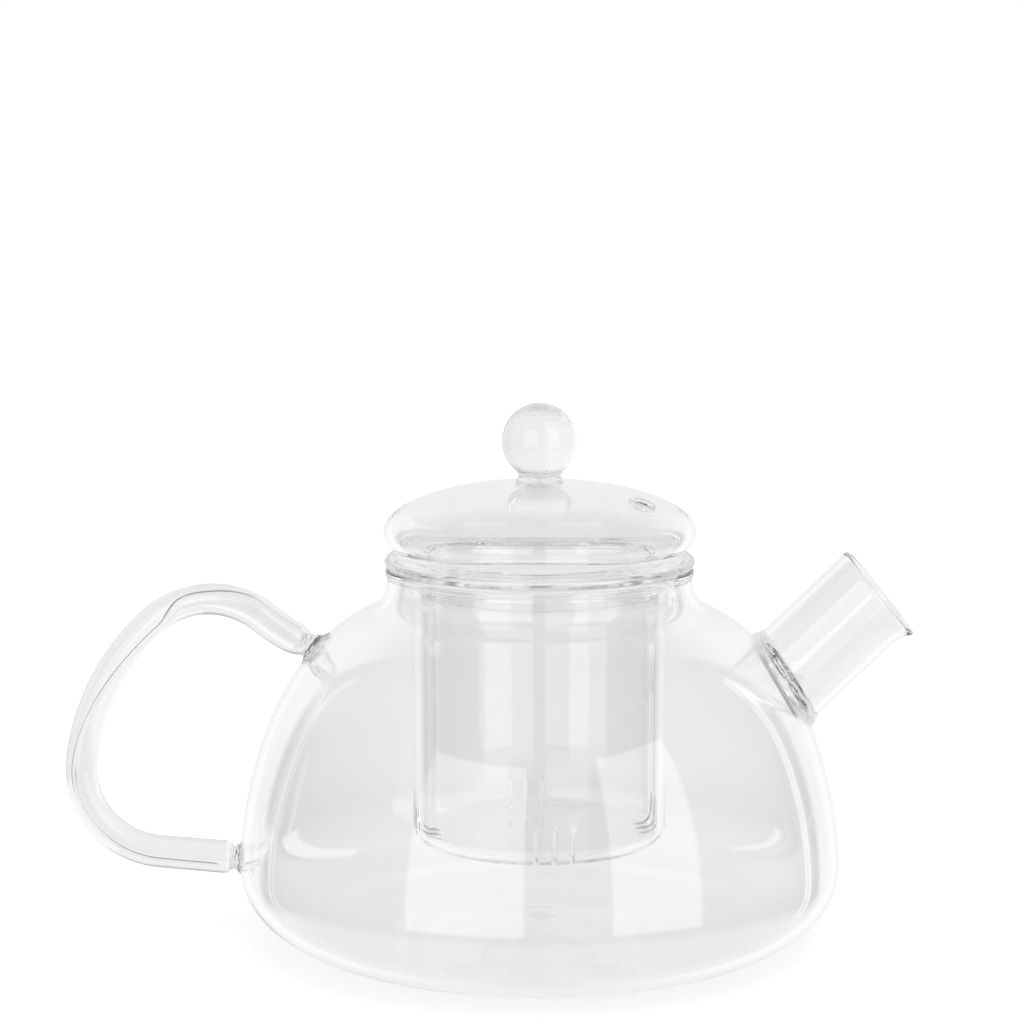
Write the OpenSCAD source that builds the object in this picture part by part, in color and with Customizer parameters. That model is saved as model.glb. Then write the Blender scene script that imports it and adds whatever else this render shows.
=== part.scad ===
// Glass teapot: a wide lampworked bowl with a spout and a hollow handle fused to it,
// an infuser that hangs in the neck by its flange, and a ball-knobbed lid that plugs the infuser.
// Millimetres, +Z up. The origin is the centre of the foot, on the table.
// The spout points along +X and the handle along -X.

/* [Bowl] */
// Height of the rim above the table
pot_h = 99.5; // [94:0.5:106]
// Widest diameter of the bowl
bowl_d = 160; // [150:1:170]
// Height of the widest ring
belly_z = 20; // [17:0.5:23]
// Diameter of the flat foot
foot_d = 109; // [100:1:116]
// Diameter of the dent pushed up in the middle of the foot
punt_d = 59; // [45:1:70]
// Depth of that dent
punt_depth = 3; // [1:0.5:5]
// Outer diameter of the neck
neck_d = 80.8; // [78:0.2:86]
// Height of the straight neck
neck_h = 3.8; // [3:0.2:5]
// Radius of the hollow curve under the neck
neck_curve_r = 8.8; // [6:0.2:11]
// Slope of the shoulder where it meets that curve, in degrees
shoulder_slope = 23.4; // [18:0.2:28]
// How far the bowl keeps rising upright above its widest ring
belly_pull = 11.2; // [8:0.2:14]
// How far the shoulder keeps its slope below the neck
shoulder_pull = 31.2; // [26:0.2:34]
// Thickness of the bowl's glass
bowl_wall = 2.2; // [1.6:0.1:3]
// Thickness of the rolled rim
rim_bead_d = 2.7; // [2.3:0.1:3.2]
// How far the rolled rim stands out of the neck
rim_roll = 0.4; // [0.2:0.1:0.6]

/* [Spout] */
// Outer diameter of the spout tube
spout_d = 26; // [22:0.5:28]
// Thickness of the spout's glass
spout_wall = 1.7; // [1.3:0.1:2.2]
// Rise of the spout above the horizontal, in degrees
spout_rise = 44.5; // [40:0.5:50]
// Height at which the spout's axis leaves the bowl
spout_root_z = 69.7; // [66:0.5:72]
// Length of the spout's axis from the bowl to the mouth
spout_len = 34.8; // [30:0.2:40]
// Tilt of the mouth's cut from square, in degrees
mouth_tilt = 5; // [0:1:8]
// Distance of the pouring lip's hinge line from the mouth, along the upper side
lip_len = 2.5; // [2:0.5:4]
// Flare of the pouring lip, in degrees
lip_flare = 21; // [14:1:23]
// Flare of the hole under the spout towards the inside of the bowl, in degrees
hole_flare = 8; // [4:1:10]
// Width of the bead of fused glass round the spout's root
spout_weld_w = 4.2; // [3.4:0.2:5]

/* [Handle] */
// Outer diameter of the handle tube at its lower end
handle_low_d = 8.8; // [8.4:0.2:10]
// Outer diameter of the handle tube at its upper end
handle_top_d = 7.6; // [7.4:0.2:9]
// Bore of the handle tube, sealed at both ends
handle_bore_d = 4; // [3:0.2:5]
// Thickness of glass that seals each end of the bore
handle_seal = 3; // [2:0.5:5]
// Height at which the handle leaves the bowl's side
handle_root_z = 20.2; // [19:0.2:24]
// Rise of the handle's lower run, in degrees
handle_rise = 5; // [3:0.5:7]
// Gap between the handle's upper end and the shoulder, measured level
handle_end_gap = 3.8; // [3:0.1:4.5]
// Bend radius of the heel at the bottom
heel_r = 22.7; // [21.5:0.1:24]
// Turn of the heel, in degrees
heel_turn = 93; // [90:0.5:96]
// Bend radius of the long back
back_r = 61; // [57:0.2:65]
// Turn of the back, in degrees
back_turn = 43.5; // [41:0.5:46]
// Bend radius of the crown at the top
crown_r = 19; // [17.5:0.1:21]
// Turn of the crown, in degrees
crown_turn = 81.7; // [79:0.1:84]
// Bend radius of the last, opposite bend down to the shoulder
dip_r = 26.5; // [24:0.5:29]
// Turn of that last bend, in degrees
dip_turn = 32; // [29:0.5:35]
// Length of the fused neck between the handle and the bowl
handle_weld_len = 2.7; // [2:0.1:3.5]
// Diameter of the fused neck
handle_weld_d = 6.8; // [6:0.2:8]
// Radius of the fused glass where it spreads onto the bowl
handle_weld_spread_r = 5.2; // [4.8:0.1:6]

/* [Infuser] */
// Height of the infuser with its flange
infuser_h = 76; // [60:1:82]
// Thickness of the infuser's glass
infuser_wall = 1.8; // [1.5:0.1:2.2]
// Gap all round between the infuser and the neck's bore
infuser_play = 4.5; // [3.5:0.1:5.5]
// Radius of the infuser's bottom corner
infuser_corner_r = 4.5; // [3.5:0.5:6]
// Thickness of the flange
flange_t = 2; // [1.6:0.1:2.4]
// How far the flange reaches past the neck
flange_overhang = 0.6; // [0.3:0.1:1.5]
// Thickness of the bead round the flange
flange_bead_d = 2.4; // [2.2:0.1:2.8]
// Radius of the curve from the tube to the flange's underside
flange_root_r = 2.75; // [2:0.25:3]
// Radius of the curve from the tube's bore to the flange's top
flange_flare_r = 4; // [3:0.5:5]
// Gap between the flange and the rim it rests on
seat_gap = 0.25; // [0.1:0.05:0.4]

/* [Infuser slits] */
// Number of groups of slits
slit_groups = 4; // [3:1:5]
// Slits in each group
slits_per_group = 3; // [1:1:4]
// Width of one saw cut
slit_w = 1; // [0.8:0.1:1.2]
// Distance between the slits of a group
slit_pitch = 4.6; // [3.5:0.1:5.5]
// How far a slit climbs the infuser's side
slit_climb = 10.5; // [8:0.5:14]
// How far a slit reaches in under the bottom
slit_reach = 7.5; // [6:0.5:10]
// Turn of the first group from the spout's side, in degrees
slit_turn = 6.5; // [0:0.5:45]

/* [Lid] */
// How far the lid reaches past the flange
lid_overhang = 0.25; // [0:0.05:1]
// Height of the dome above its widest ring
dome_h = 12.9; // [11:0.1:15]
// Depth that the underside would have below the widest ring if it were closed
dome_depth = 12.8; // [11.5:0.1:14]
// Thickness of the lid's glass
lid_wall = 2; // [1.6:0.1:2.3]
// Gap all round between the lid's collar and the infuser's bore
collar_play = 0.55; // [0.4:0.05:0.8]
// Depth of the collar's lower edge below the lid's widest ring
collar_drop = 16.4; // [14:0.2:20]
// Length of the separately fused collar tube
collar_len = 6.4; // [4.5:0.2:7]
// Gap between the lid and the infuser's flare
lid_gap = 0.25; // [0.1:0.05:0.4]

/* [Lid knob and vent] */
// Diameter of the solid ball knob
knob_d = 20; // [16:0.5:23]
// Height of the glass neck between the dome and the ball
knob_neck_h = 0.9; // [0.5:0.1:1.5]
// Diameter of the fused ring under the ball
knob_weld_d = 13; // [11:0.2:14]
// Height of that ring above the top of the dome
knob_weld_h = 2.4; // [1.8:0.1:2.8]
// Diameter of the steam vent
vent_d = 4; // [3:0.2:5]
// Distance of the vent from the lid's axis, as a part of the lid's radius
vent_place = 0.727; // [0.62:0.01:0.78]
// Direction of the vent round the lid, in degrees from the spout
vent_turn = -28; // [-180:1:180]
// Thickness of the raised ring round the vent
vent_ring_t = 1.7; // [1.4:0.1:2]

/* [Hidden] */
$fn = 96;

clear_glass = [0.86, 0.93, 0.94, 0.45];
fused_glass = [0.70, 0.82, 0.84, 0.60];

// Radii and heights of the bowl
bowl_r = bowl_d / 2;
foot_r = foot_d / 2;
neck_r = neck_d / 2;
bore_r = neck_r - bowl_wall;
rim_bead_z = pot_h - rim_bead_d / 2;
rim_bead_r = neck_r + rim_roll - rim_bead_d / 2;
neck_base_z = pot_h - neck_h;
neck_curve_c = [neck_r + neck_curve_r, neck_base_z];
shoulder_top = neck_curve_c - neck_curve_r * [sin(shoulder_slope), cos(shoulder_slope)];

// Spout frame
spout_r = spout_d / 2;
spout_bore_r = spout_r - spout_wall;
bowl_reach = bowl_wall + spout_r;
hole_top = 3.5;
lip_slack = 0.15;
weld_sink = 0.6;
weld_tuck = 0.4;

// The handle's route, in the plane of its bends: a start [distance from the axis, height, heading],
// a straight run, then bends [radius, turn] from the lower end to the upper; a positive turn goes left
handle_start = [bowl_r + handle_weld_len, handle_root_z, handle_rise];
handle_bends = [[heel_r, heel_turn], [back_r, back_turn], [crown_r, crown_turn], [dip_r, -dip_turn]];
handle_round = 3;
bore_tip_part = 0.2;
ring_sides = 24;
bore_sides = 12;
ring_steps = 40;
tip_steps = 4;

// The fused glass at each end of the handle: a neck that opens into a ball, which the bowl cuts off
weld_neck_len = handle_weld_len / 8;
weld_neck_angle = acos(handle_weld_d / 2 / handle_weld_spread_r);
weld_ball_turn = 75;
weld_steps = 12;

// Infuser radii and heights
infuser_r = bore_r - infuser_play;
infuser_bore_r = infuser_r - infuser_wall;
flange_r = neck_r + flange_overhang;
flange_bead_z = infuser_h - flange_t / 2;
flange_under_z = infuser_h - flange_t;
infuser_z = pot_h + seat_gap + flange_bead_d / 2 - flange_bead_z;
flange_top_z = infuser_z + infuser_h;

// Lid radii, and the height at which its underside touches the infuser's flare
lid_r = flange_r + lid_overhang;
collar_r = infuser_bore_r - collar_play;
collar_bore_r = collar_r - lid_wall;
dome_inner_r = lid_r - lid_wall;
seat_steps = 24;
seat_rise = max([for (i = [0:seat_steps])
    let (r = infuser_bore_r + flange_flare_r * i / seat_steps) lid_depth(r) - flare_depth(r)]);
lid_z = flange_top_z + seat_rise + lid_gap;
collar_top = collar_len - collar_drop;
knob_z = dome_h + knob_neck_h + knob_d / 2;
vent_offset = vent_place * lid_r;
vent_z = dome_h * sqrt(1 - pow(vent_place, 2));
vent_lean = atan2(vent_offset / pow(lid_r, 2), vent_z / pow(dome_h, 2));

// Depth of the lid's underside below its widest ring, at radius r
function lid_depth(r) = dome_depth * sqrt(1 - pow(r / lid_r, 2));

// Depth of the infuser's flare below the flange's top, at radius r
function flare_depth(r) =
    flange_flare_r - sqrt(pow(flange_flare_r, 2) - pow(infuser_bore_r + flange_flare_r - r, 2));

// Points on an ellipse from angle a0 to a1, both ends included
function ellipse_pts(c, rx, ry, a0, a1, steps) =
    [for (i = [0:steps]) let (a = a0 + (a1 - a0) * i / steps) c + [rx * cos(a), ry * sin(a)]];

// Points on a cubic curve, both ends included
function cubic_pts(p0, p1, p2, p3, steps) =
    [for (i = [0:steps]) let (t = i / steps, s = 1 - t)
        s * s * s * p0 + 3 * s * s * t * p1 + 3 * s * t * t * p2 + t * t * t * p3];

// A point list without its first point, or in reverse order
function tail(pts) = [for (i = [1:1:len(pts) - 1]) pts[i]];
function reversed(pts) = [for (i = [len(pts) - 1:-1:0]) pts[i]];

// A profile moved inwards (to the left of its direction) by a distance; its first point stays on the axis
function inset_pts(pts, distance) = [for (i = [0:len(pts) - 1])
    let (
        step = pts[min(i + 1, len(pts) - 1)] - pts[max(i - 1, 0)],
        side = distance * [-step.y, step.x] / norm(step)
    )
    i == 0 ? pts[0] + [0, distance] : pts[i] + side];

// The bowl's side, from the foot's edge up to the neck
bowl_side = concat(
    ellipse_pts([foot_r, belly_z], bowl_r - foot_r, belly_z, -90, 0, 9),
    tail(cubic_pts(
        [bowl_r, belly_z],
        [bowl_r, belly_z + belly_pull],
        shoulder_top + shoulder_pull * [cos(shoulder_slope), -sin(shoulder_slope)],
        shoulder_top,
        14
    )),
    tail(ellipse_pts(neck_curve_c, neck_curve_r, neck_curve_r, 270 - shoulder_slope, 180, 5))
);

// The dent under the foot, from the axis out to its edge
punt_sphere_r = (pow(punt_d / 2, 2) + pow(punt_depth, 2)) / (2 * punt_depth);
punt_half_angle = asin(punt_d / 2 / punt_sphere_r);
punt_pts = ellipse_pts([0, punt_depth - punt_sphere_r], punt_sphere_r, punt_sphere_r, 90, 90 - punt_half_angle, 4);

bowl_outer = concat(punt_pts, bowl_side, [[neck_r, rim_bead_z]]);
spout_root_x = side_r(spout_root_z);
root_slope_span = 4;
root_lean = side_r(spout_root_z - root_slope_span) - side_r(spout_root_z + root_slope_span);
spout_weld_rise = atan2(root_lean, 2 * root_slope_span);

// The handle's lower straight run follows from where its bends end, and its length from both
bends_end = along_bends([0, 0, handle_rise], handle_bends, bends_len(handle_bends));
bends_reach = handle_start[0] + bends_end[0];
foot_run = fitted_run(0, 5);
handle_len = foot_run + bends_len(handle_bends);

// Radius of the bowl's side at a height
function side_r(height) = lookup(height, [for (p = bowl_side) [p.y, p.x]]);

// The lower straight run that keeps the handle's upper end clear of the shoulder by handle_end_gap
function fitted_run(run, tries) = tries == 0
    ? run
    : let (end_z = handle_root_z + bends_end[1] + run * sin(handle_rise))
        fitted_run((side_r(end_z) + handle_end_gap - bends_reach) / cos(handle_rise), tries - 1);

// Length of a bend, or of a list of them
function bend_len(bend) = bend[0] * abs(bend[1]) * PI / 180;
function bends_len(bends) = len(bends) == 0 ? 0 : bend_len(bends[0]) + bends_len(tail(bends));

// The station [distance, height, heading] a part of the way through a bend that starts at a station
function through_bend(start, bend, part) =
    let (
        r = sign(bend[1]) * bend[0],
        heading = start[2] + bend[1] * part
    )
    [
        start[0] + r * (sin(heading) - sin(start[2])),
        start[1] - r * (cos(heading) - cos(start[2])),
        heading
    ];

// The station at a length along a list of bends
function along_bends(start, bends, length) =
    len(bends) == 1 || length <= bend_len(bends[0])
        ? through_bend(start, bends[0], length / bend_len(bends[0]))
        : along_bends(through_bend(start, bends[0], 1), tail(bends), length - bend_len(bends[0]));

// The station at a length along the handle
function straight_station(length) =
    handle_start + length * [cos(handle_rise), sin(handle_rise), 0];
function handle_station(length) = length <= foot_run
    ? straight_station(length)
    : along_bends(straight_station(foot_run), handle_bends, length - foot_run);

// Lengths of the rings of a tube from s0 to s1, closer together over its rounded tips
function ring_lengths(s0, s1, tip) = concat(
    [for (i = [0:tip_steps]) s0 + tip * (1 - cos(90 * i / tip_steps))],
    [for (i = [1:ring_steps - 1]) s0 + tip + (s1 - s0 - 2 * tip) * i / ring_steps],
    [for (i = [tip_steps:-1:0]) s1 - tip * (1 - cos(90 * i / tip_steps))]
);

// How full a tube is at a distance from its nearer end: from end_part at the end to 1 past its tip
function fullness(distance, tip, end_part) = distance >= tip
    ? 1
    : end_part + (1 - end_part) * sqrt(1 - pow(1 - distance / tip, 2));

// The bowl's outside as a solid, for trimming what is fused to it
module bowl_envelope() {
    rotate_extrude($fn = 360)
        polygon(concat([[0, 0]], bowl_side, [[neck_r, rim_bead_z], [0, rim_bead_z]]));
}

// Children stand along a direction that rises from the spout's root, +Z outwards
module at_spout_root(rise) {
    translate([spout_root_x, 0, spout_root_z])
        rotate([0, 90 - rise, 0])
            children();
}

// The spout's straight bore, from inside the bowl to past the mouth
module spout_bore() {
    at_spout_root(spout_rise)
        translate([0, 0, -bowl_reach])
            cylinder(h = bowl_reach + spout_len + spout_r, r = spout_bore_r);
}

// The hole under the spout: as wide as its bore at the bowl's outside, and wider inside
module spout_hole() {
    hole_len = bowl_reach + hole_top;
    at_spout_root(spout_rise)
        translate([0, 0, -bowl_reach])
            cylinder(h = hole_len, r1 = spout_bore_r + hole_len * tan(hole_flare), r2 = spout_bore_r);
}

// Children stand at the upper side of the spout where the lip begins, leaning down by the lip's flare
module at_lip_hinge() {
    translate([-spout_r, 0, spout_len - lip_len])
        rotate([0, lip_flare, 0])
            translate([spout_r, 0, 0])
                children();
}

// A tube along the handle from length s0 to s1, with rounded tips that narrow to end_part of its diameter
module handle_tube(s0, s1, low_d, top_d, tip, end_part, sides) {
    lengths = ring_lengths(s0, s1, tip);
    rings = len(lengths);
    points = [for (s = lengths)
        let (
            at = handle_station(s),
            full_d = low_d + (top_d - low_d) * s / handle_len,
            r = full_d / 2 * fullness(min(s - s0, s1 - s), tip, end_part)
        )
        for (j = [0:sides - 1])
            let (a = 360 * j / sides)
            [-at[0] + r * cos(a) * sin(at[2]), r * sin(a), at[1] + r * cos(a) * cos(at[2])]];
    side_faces = [for (i = [0:rings - 2], j = [0:sides - 1])
        let (k = (j + 1) % sides)
        [i * sides + j, (i + 1) * sides + j, (i + 1) * sides + k, i * sides + k]];
    end_faces = [
        [for (j = [0:sides - 1]) j],
        [for (j = [sides - 1:-1:0]) (rings - 1) * sides + j]
    ];
    polyhedron(points, concat(side_faces, end_faces), convexity = 6);
}

// A neck of fused glass that starts at a station of the handle, follows a heading and spreads onto the bowl
module handle_weld(at, heading) {
    r = handle_weld_spread_r;
    ball = ellipse_pts([0, weld_neck_len + r], r, r, -weld_neck_angle, weld_ball_turn, weld_steps);
    difference() {
        translate([-at[0], 0, at[1]])
            rotate([0, heading - 90, 0])
                rotate_extrude()
                    polygon(concat([[0, 0], [handle_weld_d / 2, 0]], ball, [[0, ball[weld_steps].y]]));
        bowl_envelope();
    }
}

module pot_bowl() {
    color(clear_glass)
        difference() {
            union() {
                rotate_extrude()
                    polygon(concat(bowl_outer, reversed(inset_pts(bowl_outer, bowl_wall))));
                rotate_extrude()
                    translate([rim_bead_r, rim_bead_z])
                        circle(d = rim_bead_d);
            }
            spout_hole();
        }
}

module spout() {
    color(clear_glass)
        difference() {
            at_spout_root(spout_rise)
                difference() {
                    union() {
                        translate([0, 0, -spout_r])
                            cylinder(h = spout_r + spout_len, r = spout_r);
                        at_lip_hinge()
                            cylinder(h = lip_len + spout_r, r = spout_r - lip_slack);
                    }
                    at_lip_hinge()
                        translate([0, 0, -spout_wall])
                            cylinder(h = lip_len + spout_d, r = spout_bore_r - lip_slack);
                    translate([-spout_r, 0, spout_len])
                        rotate([0, mouth_tilt, 0])
                            translate([-spout_d, -spout_d, 0])
                                cube([3 * spout_d, 2 * spout_d, 2 * spout_d]);
                }
            spout_bore();
            bowl_envelope();
        }
}

module spout_weld() {
    color(fused_glass)
        difference() {
            at_spout_root(spout_weld_rise)
                translate([0, 0, -weld_sink])
                    rotate_extrude()
                        translate([spout_r - weld_tuck, 0])
                            circle(d = spout_weld_w);
            at_spout_root(spout_rise)
                translate([0, 0, -spout_r])
                    cylinder(h = spout_r + spout_len, r = spout_r);
            bowl_envelope();
        }
}

module handle() {
    neck_part = handle_weld_d / handle_low_d;
    bore_tip = handle_bore_d / 2;
    color(clear_glass)
        difference() {
            handle_tube(0, handle_len, handle_low_d, handle_top_d, handle_round, neck_part, ring_sides);
            handle_tube(
                handle_seal, handle_len - handle_seal, handle_bore_d, handle_bore_d,
                bore_tip, bore_tip_part, bore_sides
            );
        }
}

module handle_upper_weld() {
    end = handle_station(handle_len);
    color(fused_glass)
        handle_weld(end, end[2]);
}

module handle_lower_weld() {
    color(fused_glass)
        handle_weld(handle_start, handle_start[2] + 180);
}

module infuser() {
    root_c = [infuser_r + flange_root_r, flange_under_z - flange_root_r];
    flare_c = [infuser_bore_r + flange_flare_r, infuser_h - flange_flare_r];
    corner_c = [infuser_r - infuser_corner_r, infuser_corner_r];
    inner_corner_r = infuser_corner_r - infuser_wall;
    bead_r = flange_r - flange_bead_d / 2;
    profile = concat(
        [[0, 0]],
        ellipse_pts(corner_c, infuser_corner_r, infuser_corner_r, -90, 0, 6),
        ellipse_pts(root_c, flange_root_r, flange_root_r, 180, 90, 5),
        [[bead_r, flange_under_z], [bead_r, infuser_h]],
        ellipse_pts(flare_c, flange_flare_r, flange_flare_r, 90, 180, 6),
        ellipse_pts(corner_c, inner_corner_r, inner_corner_r, 0, -90, 5),
        [[0, infuser_wall]]
    );
    color(clear_glass)
        translate([0, 0, infuser_z])
            difference() {
                union() {
                    rotate_extrude()
                        polygon(profile);
                    rotate_extrude()
                        translate([bead_r, flange_bead_z])
                            circle(d = flange_bead_d);
                }
                for (group = [0:slit_groups - 1])
                    rotate([0, 0, slit_turn + group * 360 / slit_groups])
                        slit_group();
            }
}

// Parallel saw cuts that bevel the infuser's bottom corner on its +X side
module slit_group() {
    cut_len = 2 * (slit_climb + slit_reach);
    for (i = [0:slits_per_group - 1])
        translate([infuser_r, (i - (slits_per_group - 1) / 2) * slit_pitch - slit_w / 2, slit_climb])
            rotate([0, 90 + atan2(slit_reach, slit_climb), 0])
                translate([-cut_len / 2, 0, 0])
                    cube([cut_len, slit_w, cut_len / 2]);
}

module lid_dome() {
    under_turn = acos(collar_r / lid_r);
    inner_turn = acos(collar_bore_r / dome_inner_r);
    profile = concat(
        ellipse_pts([0, 0], lid_r, dome_h, 90, 0, 12),
        tail(ellipse_pts([0, 0], lid_r, dome_depth, 0, -under_turn, 5)),
        [[collar_r, collar_top], [collar_bore_r, collar_top]],
        ellipse_pts([0, 0], dome_inner_r, dome_depth - lid_wall, -inner_turn, 0, 5),
        tail(ellipse_pts([0, 0], dome_inner_r, dome_h - lid_wall, 0, 90, 12))
    );
    color(clear_glass)
        translate([0, 0, lid_z])
            difference() {
                rotate_extrude()
                    polygon(profile);
                at_vent()
                    translate([0, 0, -2 * lid_wall])
                        cylinder(h = 4 * lid_wall, d = vent_d);
            }
}

module lid_collar() {
    edge_r = 0.45 * lid_wall;
    edge_c = [(collar_r + collar_bore_r) / 2, edge_r - collar_drop];
    color(clear_glass)
        translate([0, 0, lid_z])
            rotate_extrude()
                polygon(concat(
                    [[collar_bore_r, collar_top]],
                    ellipse_pts(edge_c, lid_wall / 2, edge_r, 180, 360, 8),
                    [[collar_r, collar_top]]
                ));
}

module lid_knob() {
    color(clear_glass)
        translate([0, 0, lid_z + knob_z])
            sphere(d = knob_d);
}

module lid_knob_weld() {
    color(fused_glass)
        translate([0, 0, lid_z])
            difference() {
                cylinder(h = dome_h + knob_weld_h, d = knob_weld_d);
                translate([0, 0, knob_z])
                    sphere(d = knob_d);
                dome_envelope();
            }
}

module lid_vent_ring() {
    color(fused_glass)
        translate([0, 0, lid_z])
            difference() {
                at_vent()
                    rotate_extrude()
                        translate([(vent_d + vent_ring_t) / 2, 0])
                            circle(d = vent_ring_t);
                dome_envelope();
            }
}

// The upper half of the dome's outside as a solid
module dome_envelope() {
    rotate_extrude()
        polygon(concat([[0, 0]], ellipse_pts([0, 0], lid_r, dome_h, 0, 90, 12)));
}

// Children stand on the dome at the vent, square to the glass, in the lid's own height
module at_vent() {
    rotate([0, 0, vent_turn])
        translate([vent_offset, 0, vent_z])
            rotate([0, vent_lean, 0])
                children();
}

pot_bowl();
spout();
spout_weld();
handle();
handle_upper_weld();
handle_lower_weld();
infuser();
lid_dome();
lid_collar();
lid_knob();
lid_knob_weld();
lid_vent_ring();
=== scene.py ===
"""Clear glass teapot: a bowl with a fused spout and loop handle, a slotted infuser and a ball-knobbed lid.

The sizes below are in millimetres and degrees where nothing else is said, and the scene is in metres. The
origin is the middle of the foot, +X points towards the spout and +Z up through the knob.
"""

from __future__ import annotations

import logging
import math
from collections.abc import Callable, Sequence
from dataclasses import dataclass, field
from enum import Enum

import bmesh
import bpy
from mathutils import Matrix, Vector, noise

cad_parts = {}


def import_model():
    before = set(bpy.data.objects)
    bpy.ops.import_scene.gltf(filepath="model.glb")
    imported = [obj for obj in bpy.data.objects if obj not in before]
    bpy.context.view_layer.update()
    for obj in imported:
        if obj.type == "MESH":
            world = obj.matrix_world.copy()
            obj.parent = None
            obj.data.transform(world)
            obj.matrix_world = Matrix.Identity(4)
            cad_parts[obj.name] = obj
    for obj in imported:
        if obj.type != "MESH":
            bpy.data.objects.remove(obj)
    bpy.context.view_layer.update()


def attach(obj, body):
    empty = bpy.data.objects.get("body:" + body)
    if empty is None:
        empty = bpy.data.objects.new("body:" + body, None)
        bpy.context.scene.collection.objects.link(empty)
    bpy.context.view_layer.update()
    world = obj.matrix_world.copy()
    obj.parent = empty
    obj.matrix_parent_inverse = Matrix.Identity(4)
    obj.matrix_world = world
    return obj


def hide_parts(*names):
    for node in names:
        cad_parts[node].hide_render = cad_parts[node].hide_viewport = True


MM = 0.001
WELD = 1e-7  # metres within which points count as one
ON_AXIS = 1e-6  # millimetres within which a point counts as on the axis
SPENT = 1e-9  # millimetres of a route that count as none left
AIR_GAP = 0.03  # millimetres of air between pieces that are fused in the real pot
SEAM_CREASE = 60.0  # degrees; seams and rods are shaded round up to this turn
LOG = logging.getLogger("teapot")

Pair = tuple[float, float]
Point = tuple[float, float]
Spot = tuple[float, float, float]
Profile = list[Point]
Socket = bpy.types.NodeSocket


class Body(Enum):
    """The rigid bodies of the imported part."""

    POT = "pot"
    INFUSER = "infuser"
    LID = "lid"


class Slot(Enum):
    """The record's material slots."""

    CLEAR = "clear_glass"
    FUSED = "fused_glass"


# ------------------------------------------------------------------------------------- profiles


def ellipse_points(centre: Point, rx: float, rz: float, start: float, end: float, steps: int) -> Profile:
    """Points on an ellipse of half sizes rx and rz, from one angle in degrees to another with both ends."""
    angles = [math.radians(start + (end - start) * i / steps) for i in range(steps + 1)]
    return [(centre[0] + rx * math.cos(a), centre[1] + rz * math.sin(a)) for a in angles]


def cubic_points(p0: Point, p1: Point, p2: Point, p3: Point, steps: int) -> Profile:
    """Points on a cubic curve, both ends included.

    Args:
        p0: The start.
        p1: The pull at the start.
        p2: The pull at the end.
        p3: The end.
        steps: Number of spans.

    Returns:
        The points in order.
    """
    points = []
    for i in range(steps + 1):
        t = i / steps
        weights = ((1 - t) ** 3, 3 * (1 - t) ** 2 * t, 3 * (1 - t) * t**2, t**3)
        points.append(tuple(sum(w * p[k] for w, p in zip(weights, (p0, p1, p2, p3))) for k in (0, 1)))
    return points


def inset(points: Profile, distance: float) -> Profile:
    """Moves a profile to the left of its direction by a distance, keeping points on the axis on it.

    Args:
        points: The profile.
        distance: How far it moves.

    Returns:
        The moved profile.
    """
    moved = []
    for i, (r, z) in enumerate(points):
        (ar, az), (br, bz) = points[max(i - 1, 0)], points[min(i + 1, len(points) - 1)]
        length = math.hypot(br - ar, bz - az)
        left = (-(bz - az) / length * distance, (br - ar) / length * distance)
        moved.append((0.0, z + distance) if r < ON_AXIS else (r + left[0], z + left[1]))
    return moved


def ball_section(radius: float, steps: int) -> Profile:
    """Half a circle from the bottom of a ball to its top, both ends on the axis."""
    return [(0.0, -radius), *ellipse_points((0.0, 0.0), radius, radius, -90, 90, steps)[1:-1], (0.0, radius)]


def turns(count: int) -> list[float]:
    """Angles of equal steps round a circle, in radians."""
    return [2 * math.pi * i / count for i in range(count)]


def spoke(angle: float, radius: float = 1.0, height: float = 0.0) -> Vector:
    """The point at an angle, a radius and a height."""
    return Vector((radius * math.cos(angle), radius * math.sin(angle), height))


def wander(out: Vector, pace: float, row: float) -> float:
    """A smooth random value between -1 and 1 that changes round a seam; each row is another such ring."""
    return noise.noise(Vector((pace * out.x, pace * out.y, row)))


def ease(t: float) -> float:
    """Goes smoothly from 0 to 1 as t does, and stays there beyond."""
    return (1 - math.cos(math.pi * min(1.0, max(0.0, t)))) / 2


def lookup(points: Profile, height: float) -> float:
    """Radius of a profile that rises all the way, at a height.

    Args:
        points: The profile.
        height: Where to read it.

    Returns:
        The radius there.
    """
    for (ar, az), (br, bz) in zip(points, points[1:]):
        if az <= height <= bz and bz > az:
            return ar + (br - ar) * (height - az) / (bz - az)
    return points[0][0] if height < points[0][1] else points[-1][0]


def crossing(near: float, far: float, beyond: Callable[[float], bool], halvings: int) -> Pair:
    """Closes in on the length at which something starts to hold.

    Args:
        near: A length at which it doesn't hold.
        far: A length at which it does.
        beyond: Whether it holds at a length.
        halvings: How often the span between the two is halved.

    Returns:
        The last length found at which it doesn't hold and the first at which it does.
    """
    for _ in range(halvings):
        middle = (near + far) / 2
        if beyond(middle):
            far = middle
        else:
            near = middle
    return near, far


# ------------------------------------------------------------------------------------- meshes


def linked(name: str, data: bpy.types.ID) -> bpy.types.Object:
    """Makes an object for a mesh, a light or a camera and puts it in the scene.

    Args:
        name: The object's name.
        data: What it holds.

    Returns:
        The new object.
    """
    made = bpy.data.objects.new(name, data)
    bpy.context.scene.collection.objects.link(made)
    return made


def closed_shell(mesh: bpy.types.Mesh) -> bmesh.types.BMesh:
    """Opens a mesh for work, with its doubled points merged and its faces turned outwards.

    Args:
        mesh: A mesh of closed shells.

    Returns:
        The working mesh, to be freed by the caller.
    """
    work = bmesh.new()
    work.from_mesh(mesh)
    bmesh.ops.remove_doubles(work, verts=work.verts, dist=WELD)
    bmesh.ops.recalc_face_normals(work, faces=work.faces)
    return work


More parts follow.
